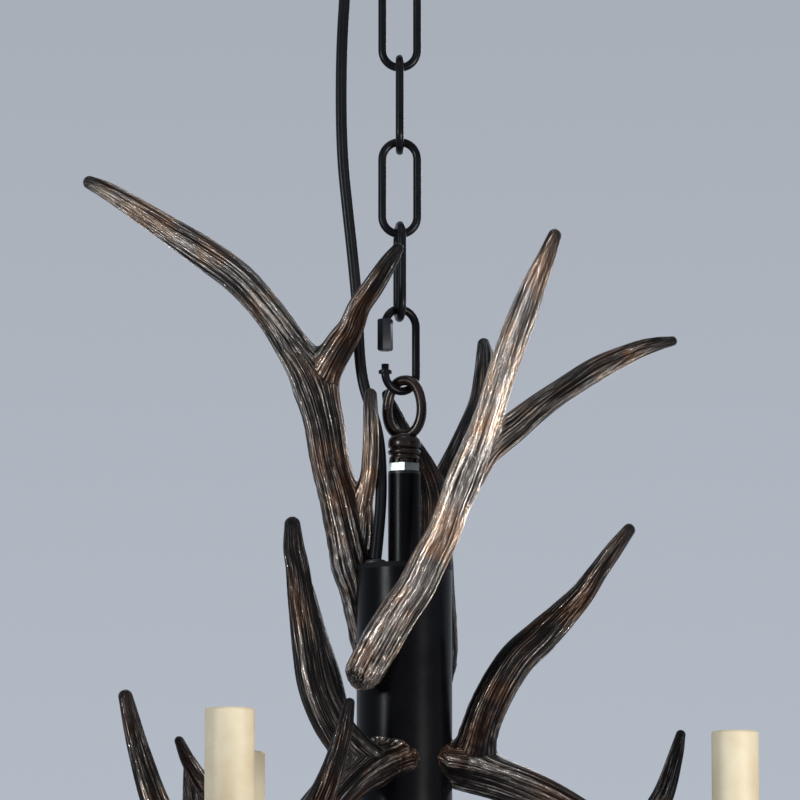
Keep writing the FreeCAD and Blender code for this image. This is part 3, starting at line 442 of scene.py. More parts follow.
# %% The upper antlers' stations: x, y, height from the column's top, radius
LEFT_ANTLER = [
    [(-15, 16, -116, 8.7), (-19, 14, -99, 11.1), (-25, 11, -70, 11.6), (-31, 7, -45, 11.9),
     (-38, 2, -12, 11.6), (-43, 0, 8, 11.4), (-47, -2, 32, 11.8), (-54, -4, 56, 12),
     (-69, -3, 81, 9.9), (-81, -1, 98, 9.3), (-97, 2, 116, 9.6), (-119, 7, 133, 9.2),
     (-145, 13, 151, 7.3), (-172, 19, 169, 5.5), (-185, 22, 176, 4)],
    [(-52, -3, 50, 9.5), (-38, -13, 73, 9), (-31, -20, 83, 7.6), (-26, -26, 94.5, 6.6),
     (-18.2, -32, 105, 6.2), (-9.3, -38, 118, 5.1), (-3.8, -41, 126, 3.4)],
    [(-31, 6, -52, 8.8), (-26, 3.5, -37, 7.2), (-24, 1, -26, 5.9), (-23.2, -2.5, -16, 4.9),
     (-20.7, -8, -3, 4.8), (-19.5, -9.9, 11, 4.9), (-19.3, -10.9, 25, 4.7), (-19.6, -11.5, 39, 4.3),
     (-19.4, -12, 45.5, 3.6)],
]
FRONT_ANTLER = [
    [(-23, -33, -117, 10.8), (-14, -34, -101, 11.6), (-3, -35, -83, 10.9), (6, -36, -70, 10.7),
     (15, -36, -52, 10.4), (21.7, -36, -39, 9.8), (29.8, -37, -17, 9.2), (36.3, -38, -1, 8.9),
     (40.7, -39, 10, 8.4), (47.7, -42, 28, 8.1), (54, -45, 48, 8.2), (61, -48, 69, 8.3),
     (68, -51, 87, 8), (75, -54, 105, 6.5), (81.2, -56, 119, 5.2), (85.8, -58, 130.5, 4)],
    [(34, -36, -10, 7.6), (44.5, -34, 7.5, 8.6), (53, -31.5, 16, 8.9), (61.8, -29, 23.2, 8.7),
     (75.8, -24, 35.4, 7.8), (90, -18.5, 46.1, 7.1), (111.3, -9.5, 60.6, 7.1),
     (132.3, -1, 71.8, 5.5), (146, 4, 77, 4.3), (156, 7.5, 79.5, 3)],
]
BACK_ANTLER = [
    [(17, 34, -114, 11.7), (18, 33, -98, 13.1), (16, 32, -64, 13.1), (14, 31, -36, 12.6),
     (21.5, 40, -9, 10.6), (33.2, 58, 20, 8.7), (41.3, 78, 41, 7.7), (46, 98, 57, 7.1),
     (48.2, 118, 74, 6.6), (49, 136, 88.5, 5.6), (48.5, 148, 99, 3.9)],
    [(14, 31, -47, 11.4), (13.5, 30, -23, 11.6), (12.5, 28, -5, 11), (7, 26, 11, 8.8),
     (-1.5, 24, 28, 6), (-7.5, 22, 42, 4.3), (-10.5, 20.5, 50, 2.8)],
]
print("upper antlers: %d limbs" % len(LEFT_ANTLER + FRONT_ANTLER + BACK_ANTLER))

# %% [markdown]
# The three arms are one casting, turned about the column, apart from their brow tines: the right
# arm's leans another way. The brow tines are all that the photograph shows of them.

# %% The arms' stations, in the same form
ARM = [
    [(17, 0, -166, 12.6), (45, 0, -173, 12.5), (80, 2, -187, 12), (118, 3, -210, 11.4),
     (150, 2, -229, 11), (190, 0, -238, 10.8), (223, -2, -233, 9.6), (250, -5, -210, 8),
     (267, -8, -178, 6.2), (277, -11, -148, 4)],
    [(124, 3, -213, 9.8), (138, 22, -203, 8.2), (150, 40, -184, 6.6), (158, 53, -161, 4.8),
     (162, 59, -146, 3)],
]
RIGHT_BROW = [
    (38, 0, -168, 11.4), (46.8, 0, -138, 10.9), (62.5, 0, -110, 10.6), (78.5, 0, -94, 9.9),
    (89.8, 0, -83, 8.6), (102, 0, -70, 7), (111.2, 0, -57, 5.8), (120.6, 0, -44, 5.2),
    (129.8, 0, -32, 3.8),
]
LEFT_BROW = [
    (44, 0, -170, 11.2), (74, -3, -151, 10.6), (90.5, -5, -130, 10), (99, -4.8, -109, 9.3),
    (109.6, -3.2, -83, 7.7), (115.8, -2, -65, 6.8), (120.5, -1.7, -54, 6.1), (125, 0, -41.5, 4.6),
]
print("an arm: %d limbs" % (len(ARM) + 1))

# %% [markdown]
# A smooth line runs through a limb's stations. A frame of two directions across the line is
# carried along it without twist, so that grooves can follow the limb.

# %% Smooth a limb's line
LINE_STEP = 2.0


def smoothed(stations):
    """Catmull-Rom through the stations: rows of x, y, z, radius about a step apart."""
    rows = np.array(stations, float)
    rows = np.vstack([2 * rows[0] - rows[1], rows, 2 * rows[-1] - rows[-2]])
    out = []
    for a, b, c, d in zip(rows, rows[1:], rows[2:], rows[3:]):
        count = max(2, int(np.linalg.norm(c[:3] - b[:3]) / LINE_STEP))
        for t in np.arange(count) / count:
            square, cube = 2 * a - 5 * b + 4 * c - d, 3 * b - a - 3 * c + d
            out.append(0.5 * (2 * b + (c - a) * t + square * t ** 2 + cube * t ** 3))
    out.append(rows[-2])
    return np.array(out)


def frames_along(line):
    """The way at each point of a line, and two unit vectors across it, without twist."""
    along = np.gradient(line[:, :3], axis=0)
    along /= np.linalg.norm(along, axis=1)[:, None]
    side = np.cross(along[0], (0.2, 1, 0.1))
    sides = []
    for direction in along:
        side = side - direction * side.dot(direction)
        side /= np.linalg.norm(side)
        sides.append(side)
    sides = np.array(sides)
    return along, sides, np.cross(along, sides)


# %% [markdown]
# A limb can say, for many points at once, how far each lies from its skin. The first search goes
# over the whole line, and later ones only about the segment found before.

# %% A limb
AT_ONCE = 4000  # points per search, to save memory
WINDOW = np.arange(-3, 4)  # segments looked at about the one found before


class Limb:
    def __init__(self, stations):
        self.line = smoothed(stations)
        self.along, self.side, self.over = frames_along(self.line)
        steps = np.linalg.norm(np.diff(self.line[:, :3], axis=0), axis=1)
        self.travel = np.concatenate([[0], np.cumsum(steps)])

    def near(self, points, guess=None):
        """Per point: distance to the skin, direction away from the line, segment, way along."""
        starts, spans = self.line[:-1, :3], np.diff(self.line[:, :3], axis=0)
        squares = (spans ** 2).sum(1)
        radii = self.line[:, 3]
        found = []
        for low in range(0, len(points), AT_ONCE):
            p = points[low:low + AT_ONCE]
            if guess is None:
                tries = np.broadcast_to(np.arange(len(starts)), (len(p), len(starts)))
            else:
                tries = np.clip(guess[low:low + AT_ONCE, None] + WINDOW, 0, len(starts) - 1)
            offset = p[:, None, :] - starts[tries]
            share = np.clip((offset * spans[tries]).sum(2) / squares[tries], 0, 1)
            to_point = offset - share[..., None] * spans[tries]
            length = np.sqrt((to_point ** 2).sum(2))
            gap = length - (radii[tries] * (1 - share) + radii[tries + 1] * share)
            best = gap.argmin(1)
            rows = np.arange(len(p))
            index = tries[rows, best]
            way = self.travel[index] + share[rows, best] * np.sqrt(squares[index])
            away = to_point[rows, best] / np.maximum(length[rows, best], 1e-6)[:, None]
            found.append((gap[rows, best], away, index, way))
        return [np.concatenate(parts) for parts in zip(*found)]


# %% [markdown]
# First step: each limb becomes a tube of bridged circles with a domed end, and a voxel remesh
# fuses the tubes into one closed skin.

# %% Coarse tubes, remeshed into one skin
EVERY = 3  # a circle at every third point of a line
DOME = (0.6, 0.95)  # circles of an end's dome, as shares of its radius


def coarse_skin(limbs, voxel):
    bm = bmesh.new()
    for limb in limbs:
        last = len(limb.line) - 1
        rows = [(0, -DOME[1]), (0, -DOME[0])] + [(i, 0.0) for i in range(0, last, EVERY)]
        rows += [(last, 0.0), (last, DOME[0]), (last, DOME[1])]
        rings = []
        for number, (i, dome) in enumerate(rows):
            radius = limb.line[i][3]
            centre = limb.line[i][:3] + limb.along[i] * radius * dome
            turn = (limb.side[i], limb.over[i], limb.along[i])
            capped = number in (0, len(rows) - 1)
            rings.append(section(bm, centre, turn, radius * math.sqrt(1 - dome * dome), capped))
        bridge(bm, rings)
    faces_out(bm)
    mesh = bpy.data.meshes.new("coarse")
    bm.to_mesh(mesh)
    bm.free()
    carrier = bpy.data.objects.new("coarse", mesh)
    scene.collection.objects.link(carrier)
    remesh = carrier.modifiers.new("skin", "REMESH")
    remesh.mode = "VOXEL"
    remesh.voxel_size = voxel
    depsgraph = bpy.context.evaluated_depsgraph_get()
    skin = bpy.data.meshes.new_from_object(carrier.evaluated_get(depsgraph))
    bpy.data.objects.remove(carrier)
    return skin


# %% [markdown]
# Second step: the points move to the smooth union of the limbs. Where two limbs are about as near
# as each other, both count, and that rounds the crotch between them.

# %% Draw the points to the smooth union
MELT = 3.0  # how far apart limbs still melt, mm
PASSES = 7
LARGEST_MOVE = 1.5


def draw_to_union(points, limbs):
    """Moves the points; gives each limb's findings, each limb's share, and the ways outward."""
    guesses = [None] * len(limbs)
    for _ in range(PASSES):
        found = [limb.near(points, guess) for limb, guess in zip(limbs, guesses)]
        guesses = [f[2] for f in found]
        gaps = np.array([f[0] for f in found])
        shares = np.exp(-(gaps - gaps.min(0)) / MELT)
        total = shares.sum(0)
        field = gaps.min(0) - MELT * np.log(total)
        shares /= total
        normal = sum(s[:, None] * f[1] for s, f in zip(shares, found))
        normal /= np.linalg.norm(normal, axis=1)[:, None]
        points -= np.clip(field, -LARGEST_MOVE, LARGEST_MOVE)[:, None] * normal
    return found, shares, normal


# %% [markdown]
# Third step: grooves. Each point gets a place in a straightened limb, its flow: two lengths across
# and one along. Noise that is stretched along the flow gives ridges, and the antler's foot also
# gets pearls.

# %% Flow and grooves
SPIRAL = 0.0022  # radians per mm
LIMB_SHIFT = 37  # limbs of one antler read the noise this far apart


def flow_of(limb, away, index, travel, number):
    x = (away * limb.side[index]).sum(1)
    y = (away * limb.over[index]).sum(1)
    # Half way between the limb's own radius and its usual one: grooves close up only a little.
    usual = limb.line[:, 3].mean() * 1.15
    radius = np.minimum(limb.line[index, 3], usual) * 0.5 + usual * 0.5
    spiral = travel * SPIRAL
    across = (x * np.cos(spiral) - y * np.sin(spiral)) * radius
    upward = (x * np.sin(spiral) + y * np.cos(spiral)) * radius
    return np.stack([across, upward, travel + LIMB_SHIFT * number], 1)


def groove_height(flow, pearls, seed):
    """Ridges that run along the limb, from about -1 to 1, and pearls where the antler is rough."""
    tall = np.empty(len(flow))
    for i, (x, y, s) in enumerate(flow):
        sway = 0.4 * noise.noise((x * 0.05, y * 0.05, s * 0.012 + seed))
        broad = noise.noise((x * 0.16 + sway, y * 0.16 - sway, s * 0.006 + seed))
        crest = 0.40 - 2 * abs(noise.noise((x * 0.34 + sway, y * 0.34, s * 0.008 + seed + 17)))
        fine = noise.noise((x * 0.80, y * 0.80, s * 0.016 + seed + 40))
        pearl = noise.noise((x * 0.30, y * 0.30, s * 0.22 + seed + 90))
        tall[i] = 0.42 * broad + 0.40 * crest + 0.40 * fine + pearls[i] * 0.9 * pearl
    return tall


# %% [markdown]
# The marks are what the paint will read at each point: the ridge's height, how near the tip is,
# how much the paint is worn there, and the flow.

# %% Marks for the paint
TIP_LENGTH = 20
TIP_SMOOTHNESS = 0.8  # how far the grooves fade at the tip


def marks_of(limbs, found, shares, seed, pearls_end, worn):
    count = shares.shape[1]
    marks = {"ridge": np.zeros(count), "tip": np.zeros(count), "worn": np.zeros(count)}
    flow_all = np.zeros((count, 3))
    nearest = shares.argmax(0)
    for number, (limb, (_, away, index, travel)) in enumerate(zip(limbs, found)):
        end = limb.travel[-1]
        flow = flow_of(limb, away, index, travel, number)
        pearls = np.clip(1 - travel / pearls_end[number], 0, 1)
        tip = np.clip(1 - (end - travel) / TIP_LENGTH, 0, 1)
        ridge = groove_height(flow, pearls, seed) * (1 - TIP_SMOOTHNESS * tip)
        steps = np.linspace(0, end, len(worn[number]))
        marks["ridge"] += shares[number] * ridge
        marks["tip"] += shares[number] * tip
        marks["worn"] += shares[number] * np.interp(travel, steps, worn[number])
        flow_all[nearest == number] = flow[nearest == number]
    return marks, flow_all


# %% [markdown]
# The foot must not cut into the hub, and an arm has a flat under its drip cup. At last the antler
# is turned about the column and moved to its height.

# %% Seats, and the place in the scene
SEAT = HUB_RADIUS + 0.25
CUP_REACH = 190
CUP_FLAT_RADIUS = 9.5
CUP_FLAT_LEVEL = -229.15
RIM = 0.3  # the foot's fit reaches this far above the hub's top


def cut_seats(points, has_cup):
    radial = np.linalg.norm(points[:, :2], axis=1)
    inside = (radial < SEAT) & (points[:, 2] < HUB_TOP + RIM)
    points[inside, :2] *= (SEAT / np.maximum(radial[inside], 1e-3))[:, None]
    if has_cup:
        reach = np.hypot(points[:, 0] - CUP_REACH, points[:, 1])
        under = (reach < CUP_FLAT_RADIUS) & (points[:, 2] > CUP_FLAT_LEVEL)
        points[under, 2] = CUP_FLAT_LEVEL


def placed(points, direction):
    """Turned about the column by a direction in degrees, at its height, in metres."""
    cosine, sine = math.cos(math.radians(direction)), math.sin(math.radians(direction))
    x, y, z = points.T
    spun = (x * cosine - y * sine + COLUMN_X, x * sine + y * cosine, z + COLUMN_TOP)
    return np.stack(spun, 1) * MM


# %% [markdown]
# ## The antlers' paint
# The casting is painted near black, then rubbed with brown and touched with a pale beige on the
# ridges. The paint adds fine streaks along the flow to the ridge's height, which gives the relief,
# and long smears and the wear, which say how far the paint is rubbed off. Their sum is the level.

# %% Antler paint: maths helpers, and the level


def maths(tree, operation, first, second):
    node = tree.nodes.new("ShaderNodeMath")
    node.operation = operation
    for socket, value in zip(node.inputs, (first, second)):
        if isinstance(value, (int, float)):
            socket.default_value = value
        else:
            tree.links.new(value, socket)
    return node.outputs[0]


def attribute(tree, name, output):
    node = tree.nodes.new("ShaderNodeAttribute")
    node.attribute_name = name
    return node.outputs[output]


def along_limb(detail, rough, across, along):
    """Noise with its own scale across the limb and along it, per mm of flow."""
    return noise_of(tree, flow, 1.0, detail, rough, (across, across, along))


antler_paint = bpy.data.materials.new("antler_paint")
antler_paint.use_nodes = True
tree = antler_paint.node_tree
add, times, less = (partial(maths, tree, kind) for kind in ("ADD", "MULTIPLY", "SUBTRACT"))
ridge, tip, worn = (attribute(tree, name, "Fac") for name in ("ridge", "tip", "worn"))
flow = attribute(tree, "flow", "Vector")
streaks = along_limb(detail=5, rough=0.62, across=1.30, along=0.016)
lines = along_limb(detail=3, rough=0.55, across=0.60, along=0.007)
lines = remap(tree, maths(tree, "ABSOLUTE", less(lines, 0.5), 0.0), 0.0, 0.085, 1.0, 0.0)
smear = along_limb(detail=4, rough=0.65, across=0.10, along=0.010)
relief = add(add(times(ridge, 0.55), times(less(streaks, 0.5), 3.2)), times(lines, 0.34))
wear = add(times(less(smear, 0.5), 1.5), times(worn, 0.36))
level = remap(tree, add(relief, wear), -0.18, 1.40, 0, 1)
print("paint nodes so far:", len(tree.nodes))

# %% [markdown]
# The level chooses the colour from two ramps, a grey one and a brown one for large patches. Where
# fine scratches cross the highest streaks, a painted highlight turns the colour almost white, and
# the tips are dark.

# %% Antler paint: colour


def blend_colours(tree, share, first, second):
    node = tree.nodes.new("ShaderNodeMix")
    node.data_type = "RGBA"
    tree.links.new(share, node.inputs["Factor"])
    for socket, value in ((node.inputs["A"], first), (node.inputs["B"], second)):
        if isinstance(value, tuple):
            socket.default_value = (*value, 1)
        else:
            tree.links.new(value, socket)
    return node.outputs["Result"]


GREY_STOPS = [
    (0.00, (0.0030, 0.0026, 0.0030)), (0.36, (0.0085, 0.0070, 0.0070)),
    (0.50, (0.034, 0.026, 0.022)), (0.62, (0.120, 0.100, 0.088)),
    (0.78, (0.42, 0.37, 0.33)), (1.00, (0.76, 0.70, 0.64)),
]
BROWN_STOPS = [
    (0.00, (0.006, 0.003, 0.002)), (0.34, (0.024, 0.011, 0.006)), (0.48, (0.095, 0.042, 0.018)),
    (0.62, (0.30, 0.160, 0.085)), (0.80, (0.60, 0.42, 0.28)), (1.00, (0.80, 0.66, 0.50)),
]
where = tree.nodes.new("ShaderNodeTexCoord").outputs["Object"]
patches = add(noise_of(tree, where, 30, 4, 0.6), times(worn, 0.060))
scratches = along_limb(detail=4, rough=0.72, across=2.2, along=0.13)
# painted glints: the colour goes almost white where scratches cross the highest streaks, a painted
# highlight
painted_glints = times(remap(tree, level, 0.48, 0.70, 0, 1), remap(tree, scratches, 0.50, 0.60, 0, 1))
grey, brown = ramp(tree, level, GREY_STOPS), ramp(tree, level, BROWN_STOPS)
colour = blend_colours(tree, remap(tree, patches, 0.53, 0.66, 0, 0.85), grey, brown)
colour = blend_colours(tree, painted_glints, colour, (1.0, 0.92, 0.84))
colour = blend_colours(tree, times(tip, 0.8), colour, (0.010, 0.009, 0.010))
tree.links.new(colour, tree.nodes["Principled BSDF"].inputs["Base Color"])
print("paint nodes so far:", len(tree.nodes))

# %% [markdown]
# Rubbed ridges are like metal and smooth, and the black in the grooves is dull. Three bumps stand
# on each other: the relief, the scratches and a fine grit.

# %% Antler paint: shine and bump
shader = tree.nodes["Principled BSDF"]
grit = noise_of(tree, where, 900, 4, 0.7)
tree.links.new(remap(tree, level, 0.40, 0.72, 0.10, 0.90), shader.inputs["Metallic"])
tree.links.new(remap(tree, level, 0.30, 0.60, 0.06, 0.55), shader.inputs["Specular IOR Level"])
gritty_level = add(level, times(grit, 0.25))
tree.links.new(remap(tree, gritty_level, 0.35, 0.85, 0.46, 0.19), shader.inputs["Roughness"])
RELIEF_DEPTH, SCRATCH_DEPTH, GRIT_DEPTH = 0.0008, 0.0004, 0.0003  # metres
relief_bump = bump_of(tree, relief, 1.0, RELIEF_DEPTH, shader)
scratch_bump = bump_of(tree, scratches, 0.45, SCRATCH_DEPTH, shader, relief_bump)
bump_of(tree, grit, 0.12, GRIT_DEPTH, shader, scratch_bump)
print("paint nodes:", len(tree.nodes))

# %% [markdown]
# ## Make the antlers
# Each antler says how far along each limb its pearls fade out, and how worn each limb is, from its
# foot to its tip at even steps. The arms lie mostly below the picture, so their skin may be
# coarser.

# %% A helper that makes an antler
GROOVE_DEPTH = 0.75
SKIN_DROP = 0.1


def make_antler(name, limb_stations, seed, node, pearls_end, worn,
                direction=0, has_cup=False, voxel=0.85):
    limbs = [Limb(stations) for stations in limb_stations]
    skin = coarse_skin(limbs, voxel)
    points = np.empty(len(skin.vertices) * 3)
    skin.vertices.foreach_get("co", points)
    points = points.reshape(-1, 3)
    found, shares, normal = draw_to_union(points, limbs)
    marks, flow_all = marks_of(limbs, found, shares, seed, pearls_end, worn)
    points += (GROOVE_DEPTH * marks["ridge"] - SKIN_DROP)[:, None] * normal
    cut_seats(points, has_cup)
    skin.vertices.foreach_set("co", placed(points, direction).ravel())
    for title, values in marks.items():
        mark = skin.attributes.new(title, "FLOAT", "POINT")
        mark.data.foreach_set("value", values.astype(np.float32))
    mark = skin.attributes.new("flow", "FLOAT_VECTOR", "POINT")
    mark.data.foreach_set("vector", flow_all.astype(np.float32).ravel())
    skin.name = name
    skin.materials.clear()
    skin.materials.append(antler_paint)
    skin.shade_smooth()
    skin.update()
    casting = bpy.data.objects.new(name, skin)
    scene.collection.objects.link(casting)
    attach(casting, "fixture")
    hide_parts(node)
    print("%s: %d vertices" % (name, len(points)))


# %% [markdown]
# The upper antlers are the ones that the photograph shows. The front one is the most worn, above
# all in its middle.

# %% The upper antlers
make_antler("left_antler", LEFT_ANTLER, 3.1, "antler_left", [200, 30, 70],
            [(0.75, 1.7), (0.9, 0.9), (1.6, 1.6)])
make_antler("front_antler", FRONT_ANTLER, 11.7, "antler_front", [40, 30],
            [(1.45, 2.35, 1.6), (1.1, 1.2)])
make_antler("back_antler", BACK_ANTLER, 23.9, "antler_back", [60, 40], [(0.5, 0.6), (0.7, 0.7)])

# %% [markdown]
# The arms carry the lamps. Two are a third of a turn away from the right one, to within a degree.

# %% The arms
ARM_WORN = (0.7, 0.7)
make_antler("right_arm", ARM + [RIGHT_BROW], 31.3, "arm_antler_right", [60, 20, 70],
            [ARM_WORN, ARM_WORN, (0.6, 1.1)], 0, True, 1.1)
make_antler("back_arm", ARM + [LEFT_BROW], 45.7, "arm_antler_back", [60, 20, 50],
            [ARM_WORN, ARM_WORN, (0.5, 0.5)], 121, True, 1.2)
make_antler("front_arm", ARM + [LEFT_BROW], 57.1, "arm_antler_front", [60, 20, 50],
            [ARM_WORN, ARM_WORN, (0.4, 0.5)], 240, True, 1.1)

# %% [markdown]
# ## The supply cord
# A flat twin cord leaves the canopy's grip, hangs beside the chain, and goes down through a
# grommet in the hub's top. It is one smooth route through written points, read back as a row of
# close points.

# %% The cord's route
ROUTE = [
    (-31.3, -4, -47.3), (-31.8, -4.4, -76), (-33.9, -5.4, -110), (-34.3, -5.6, -148),
    (-33.3, -5, -180), (-30.5, -3.5, -207), (-27.3, -1.8, -236), (-24.5, -0.6, -265),
    (-23.6, -0.3, -291), (-21.6, -0.2, -309), (-17.2, -0.8, -323), (-11.9, -3, -342),
    (-10.4, -4.6, -367), (-11.4, -7, -391), (-13.8, -8.4, -413.5),
]
route_data = bpy.data.curves.new("cord_route", "CURVE")
route_data.dimensions = "3D"
route_data.resolution_u = 16
spline = route_data.splines.new("NURBS")
spline.points.add(len(ROUTE) - 1)
for point, place in zip(spline.points, ROUTE):
    point.co = (*(v * MM for v in place), 1)
spline.order_u = 3
spline.use_endpoint_u = True
route = bpy.data.objects.new("cord_route", route_data)
scene.collection.objects.link(route)
bpy.context.view_layer.update()
depsgraph = bpy.context.evaluated_depsgraph_get()
line_mesh = bpy.data.meshes.new_from_object(route.evaluated_get(depsgraph))
cord_line = [v.co.copy() for v in line_mesh.vertices]
bpy.data.objects.remove(route)


def length_of(points):
    return sum((b - a).length for a, b in zip(points, points[1:]))


print("cord: %d points, %.4f m" % (len(cord_line), length_of(cord_line)))

# %% [markdown]
# The chain's links swing, and the cord is cut at the heights where they meet, but the stretches are
# not set on the links' bodies, so they stay where they are. Its section is a circle pressed flat,
# with a groove along the middle of both faces.

# %% The cord's stretches
CORD_WIDTH = 6.6
FLATTENED = 0.72
GROOVE = 0.16
GROOVE_SHARE = 0.35  # of the half width
CUTS = [-47.3, -98, -148, -197, -247, -292, -413.5]
CHAIN = ["ceiling_set", "link_1", "link_2", "link_3", "link_4", "quick_link_body", "fixture"]
SLACK = 2e-4  # a point this close above a cut still belongs below it
cord_gloss = finish("cord_gloss", (0.0025, 0.0025, 0.0035), (0.005, 0.005, 0.0065),
                    0.0, (0.28, 0.40), shine=0.18, bump=0.02)


def press_twin(verts):
    for v in verts:
        groove = max(0.0, 1 - abs(v.co.x) / (CORD_WIDTH / 2 * GROOVE_SHARE))
        v.co.y *= FLATTENED - GROOVE * groove


for number, (top, foot, above, below) in enumerate(zip(CUTS, CUTS[1:], CHAIN, CHAIN[1:]), start=1):
    inside = [p for p in cord_line if foot * MM - 1e-6 <= p.z <= top * MM + SLACK]
    before = [p for p in cord_line if p.z > top * MM + SLACK]
    inside = before[-1:] + inside
    bm = bmesh.new()
    sweep(bm, [p / MM for p in inside], [CORD_WIDTH / 2] * len(inside), Vector((1, 0, 0)),
          press=press_twin)
    stretch = to_object(bm, "cord_%d" % number, cord_gloss)
    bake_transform(stretch)
    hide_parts("power_cord")
print("cord stretches:", len(CHAIN) - 1)

# %% [markdown]
# ## The chain
# Oval links of round bar, hung in each other a quarter turn apart. The last of the four is turned
# a little further, as in the photograph.

# %% Links
LINK_TOPS = [-66.5, -115.9, -165.3, -214.7]
LINK_WIDTH = 25.2
LINK_LENGTH = 59.3
WIRE = 4.8
LAST_LINK_EXTRA = 8  # degrees
for number, top in enumerate(LINK_TOPS, start=1):
    bm = bmesh.new()
    oval_ring(bm, LINK_WIDTH, LINK_LENGTH, WIRE)
    turn = (0 if number % 2 else 90) + (LAST_LINK_EXTRA if number == len(LINK_TOPS) else 0)
    bmesh.ops.rotate(bm, verts=bm.verts, matrix=Matrix.Rotation(math.radians(turn), 3, "Z"))
    bmesh.ops.translate(bm, verts=bm.verts, vec=(0, 0, top - LINK_LENGTH / 2))
    keep(bm, "link_ring_%d" % number, chain_black, "link_%d" % number, ["chain_link_%d" % number])
print("links:", len(LINK_TOPS))

# %% [markdown]
# ## The quick link
# The last link is a quick link, and it is open. On a real one the gap in its left leg is closed by
# a long nut on a thread; here the thread stands free below the gap, with a small stop collar. One
# bar is swept round the oval, and it gets thinner and thicker where the thread is.

# %% Quick link
QUICK_X = 0.5
QUICK_CENTRE = -290.6
QUICK_TURN = math.radians(28)
QUICK_LEG = 10.1  # from the middle to a leg
QUICK_HALF = 14.0  # from the middle to a bend's centre
GATE_TOP = -0.8
GATE_FOOT = -8.8
THREAD_LENGTH = 3.6
THREAD_PITCH = 0.9
THREAD_DEPTH = 0.4
COLLAR_HEIGHT = -13.5
COLLAR_PROFILE = [(0, -1.1), (3.5, -1.1), (3.9, -0.7), (3.9, 0.7), (3.5, 1.1), (0, 1.1)]

thread = np.arange(GATE_FOOT, GATE_FOOT - THREAD_LENGTH, -THREAD_PITCH / 2)
centres = [Vector((-QUICK_LEG, 0, z)) for z in thread]
radii = [WIRE / 2 - (0 if i % 2 else THREAD_DEPTH) for i in range(len(thread))]
for end, first in ((-1, math.pi), (1, 0)):
    for angle in np.linspace(first, first + math.pi, 25):
        height = QUICK_LEG * math.sin(angle) + end * QUICK_HALF
        centres.append(Vector((QUICK_LEG * math.cos(angle), 0, height)))
        radii.append(WIRE / 2)
centres.append(Vector((-QUICK_LEG, 0, GATE_TOP)))
radii.append(WIRE / 2)
bm = bmesh.new()
sweep(bm, centres, radii, Vector((0, 1, 0)))
turned(bm, COLLAR_PROFILE, at=(-QUICK_LEG, 0, COLLAR_HEIGHT), steps=24)
bmesh.ops.rotate(bm, verts=bm.verts, matrix=Matrix.Rotation(QUICK_TURN, 3, "Z"))
bmesh.ops.translate(bm, verts=bm.verts, vec=(QUICK_X, 0, QUICK_CENTRE))
keep(bm, "quick_link_ring", chain_black, "quick_link_body", ["quick_link"])
print("quick link: %d sections swept" % len(centres))

# %% [markdown]
# The six-sided sleeve nut hangs on the upper stub, run up. A profile turned in only six steps is
# six-sided, with its chamfers and its bore.

# %% Sleeve nut
NUT_TURN = math.radians(13)
NUT_FOOT = -1.0  # from the quick link's centre
NUT_PROFILE = [
    (2.95, 0), (3.9, 0), (4.62, 0.8), (4.62, 17.8),
    (3.9, 18.6), (3.7, 18.6), (2.95, 13.6), (2.95, 0),
]
bm = bmesh.new()
turned(bm, NUT_PROFILE, steps=6)
bmesh.ops.rotate(bm, verts=bm.verts, matrix=Matrix.Rotation(NUT_TURN, 3, "Z"))
nut_place = (QUICK_X - QUICK_LEG * math.cos(QUICK_TURN), -QUICK_LEG * math.sin(QUICK_TURN),
             QUICK_CENTRE + NUT_FOOT)
bmesh.ops.translate(bm, verts=bm.verts, vec=nut_place)
keep(bm, "sleeve_nut_hex", nut_grey, "sleeve_nut", ["quick_link_nut"])
print("sleeve nut: %.1f mm long" % NUT_PROFILE[4][1])

# %% [markdown]
# ## The fixture's loop
# A cast ring, a little wider low down than at its crown, stands on a turned cap with two grooves.
# The cap is screwed on the rod that runs down through the column.

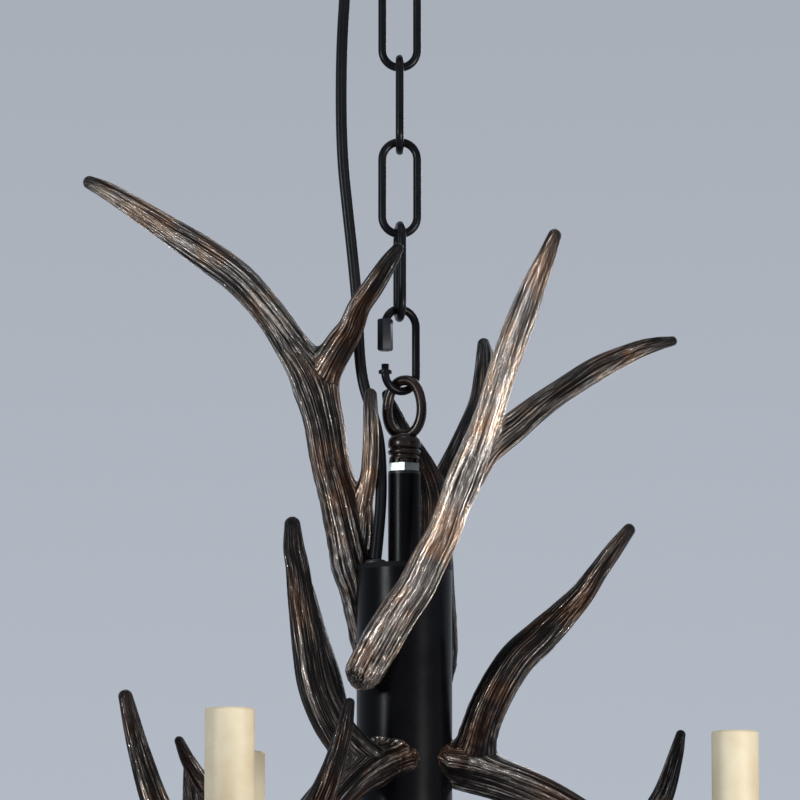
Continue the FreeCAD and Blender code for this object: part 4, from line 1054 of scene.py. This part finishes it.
# %% Ring and cap
LOOP_FOOT = -354.9
LOOP_TURN = math.radians(-30)
RING_MIDDLE = 30.6
RING_HALF_HEIGHT = 16.0
RING_HALF_WIDTH = 11.5
RING_WIRE = 6.0
RING_SECTIONS = 72
SQUARENESS = 0.85  # below 1 makes the ring's sides straighter
CROWN_NARROWING = 0.07
CAP_PROFILE = [
    (0, 13), (5.1, 13), (5.1, 0), (8.3, 0), (8.7, 0.3), (8.7, 1.4), (8.4, 1.8), (7.7, 2.1),
    (7.7, 2.6), (8.5, 2.9), (9.2, 3.3), (9.5, 4.0), (9.5, 4.9), (9.2, 5.5), (8.4, 5.9), (8.1, 6.2),
    (8.5, 6.7), (9.2, 7.1), (9.5, 7.8), (9.5, 10.4), (9.1, 12.0), (8.0, 13.5), (6.0, 14.8),
    (3.2, 15.5), (0, 15.6),
]
centres = []
for angle in np.linspace(0, 2 * math.pi, RING_SECTIONS, endpoint=False):
    outward = math.copysign(abs(math.cos(angle)) ** SQUARENESS, math.cos(angle))
    width = RING_HALF_WIDTH * outward * (1 - CROWN_NARROWING * math.sin(angle))
    centres.append(Vector((width, 0, RING_MIDDLE + RING_HALF_HEIGHT * math.sin(angle))))
bm = bmesh.new()
sweep(bm, centres, [RING_WIRE / 2] * len(centres), Vector((0, 1, 0)), closed=True)
turned(bm, CAP_PROFILE, steps=64)
bmesh.ops.rotate(bm, verts=bm.verts, matrix=Matrix.Rotation(LOOP_TURN, 3, "Z"))
bmesh.ops.translate(bm, verts=bm.verts, vec=(COLUMN_X, 0, LOOP_FOOT))
keep(bm, "fixture_loop_cast", loop_bronze, "fixture", ["fixture_loop"])
print("loop: %d sections and a cap of %d corners" % (len(centres), len(CAP_PROFILE)))

# %% [markdown]
# ## The cord's strain relief
# Where the cord leaves its grip, a soft ribbed sleeve that gets thinner downwards keeps it from
# bending sharply. It is turned from a profile of ribs.

# %% Strain relief under the cord grip
RELIEF_PLACE = (-31.45, -4.1, -46.9)
RELIEF_LENGTH = 24
RIBS = 6
RIB_PITCH = RELIEF_LENGTH / RIBS
RIB_DEPTH = 0.75
TOP_RADIUS = 4.9
NARROWING = 1.0
profile = [(0, 0), (4.6, 0)]
for rib in range(RIBS):
    low = -rib * RIB_PITCH
    radius = TOP_RADIUS - NARROWING * rib / RIBS
    between_ribs = radius - RIB_DEPTH
    profile += [(radius, low - 0.15 * RIB_PITCH), (radius, low - 0.6 * RIB_PITCH),
                (between_ribs, low - 0.7 * RIB_PITCH), (between_ribs, low - 0.95 * RIB_PITCH)]
profile += [(3.4, -RELIEF_LENGTH), (0, -RELIEF_LENGTH)]
bm = bmesh.new()
turned(bm, profile, at=RELIEF_PLACE, steps=40)
keep(bm, "cord_strain_relief", nylon, "ceiling_set", [])
print("strain relief: %d mm with %d ribs" % (RELIEF_LENGTH, RIBS))
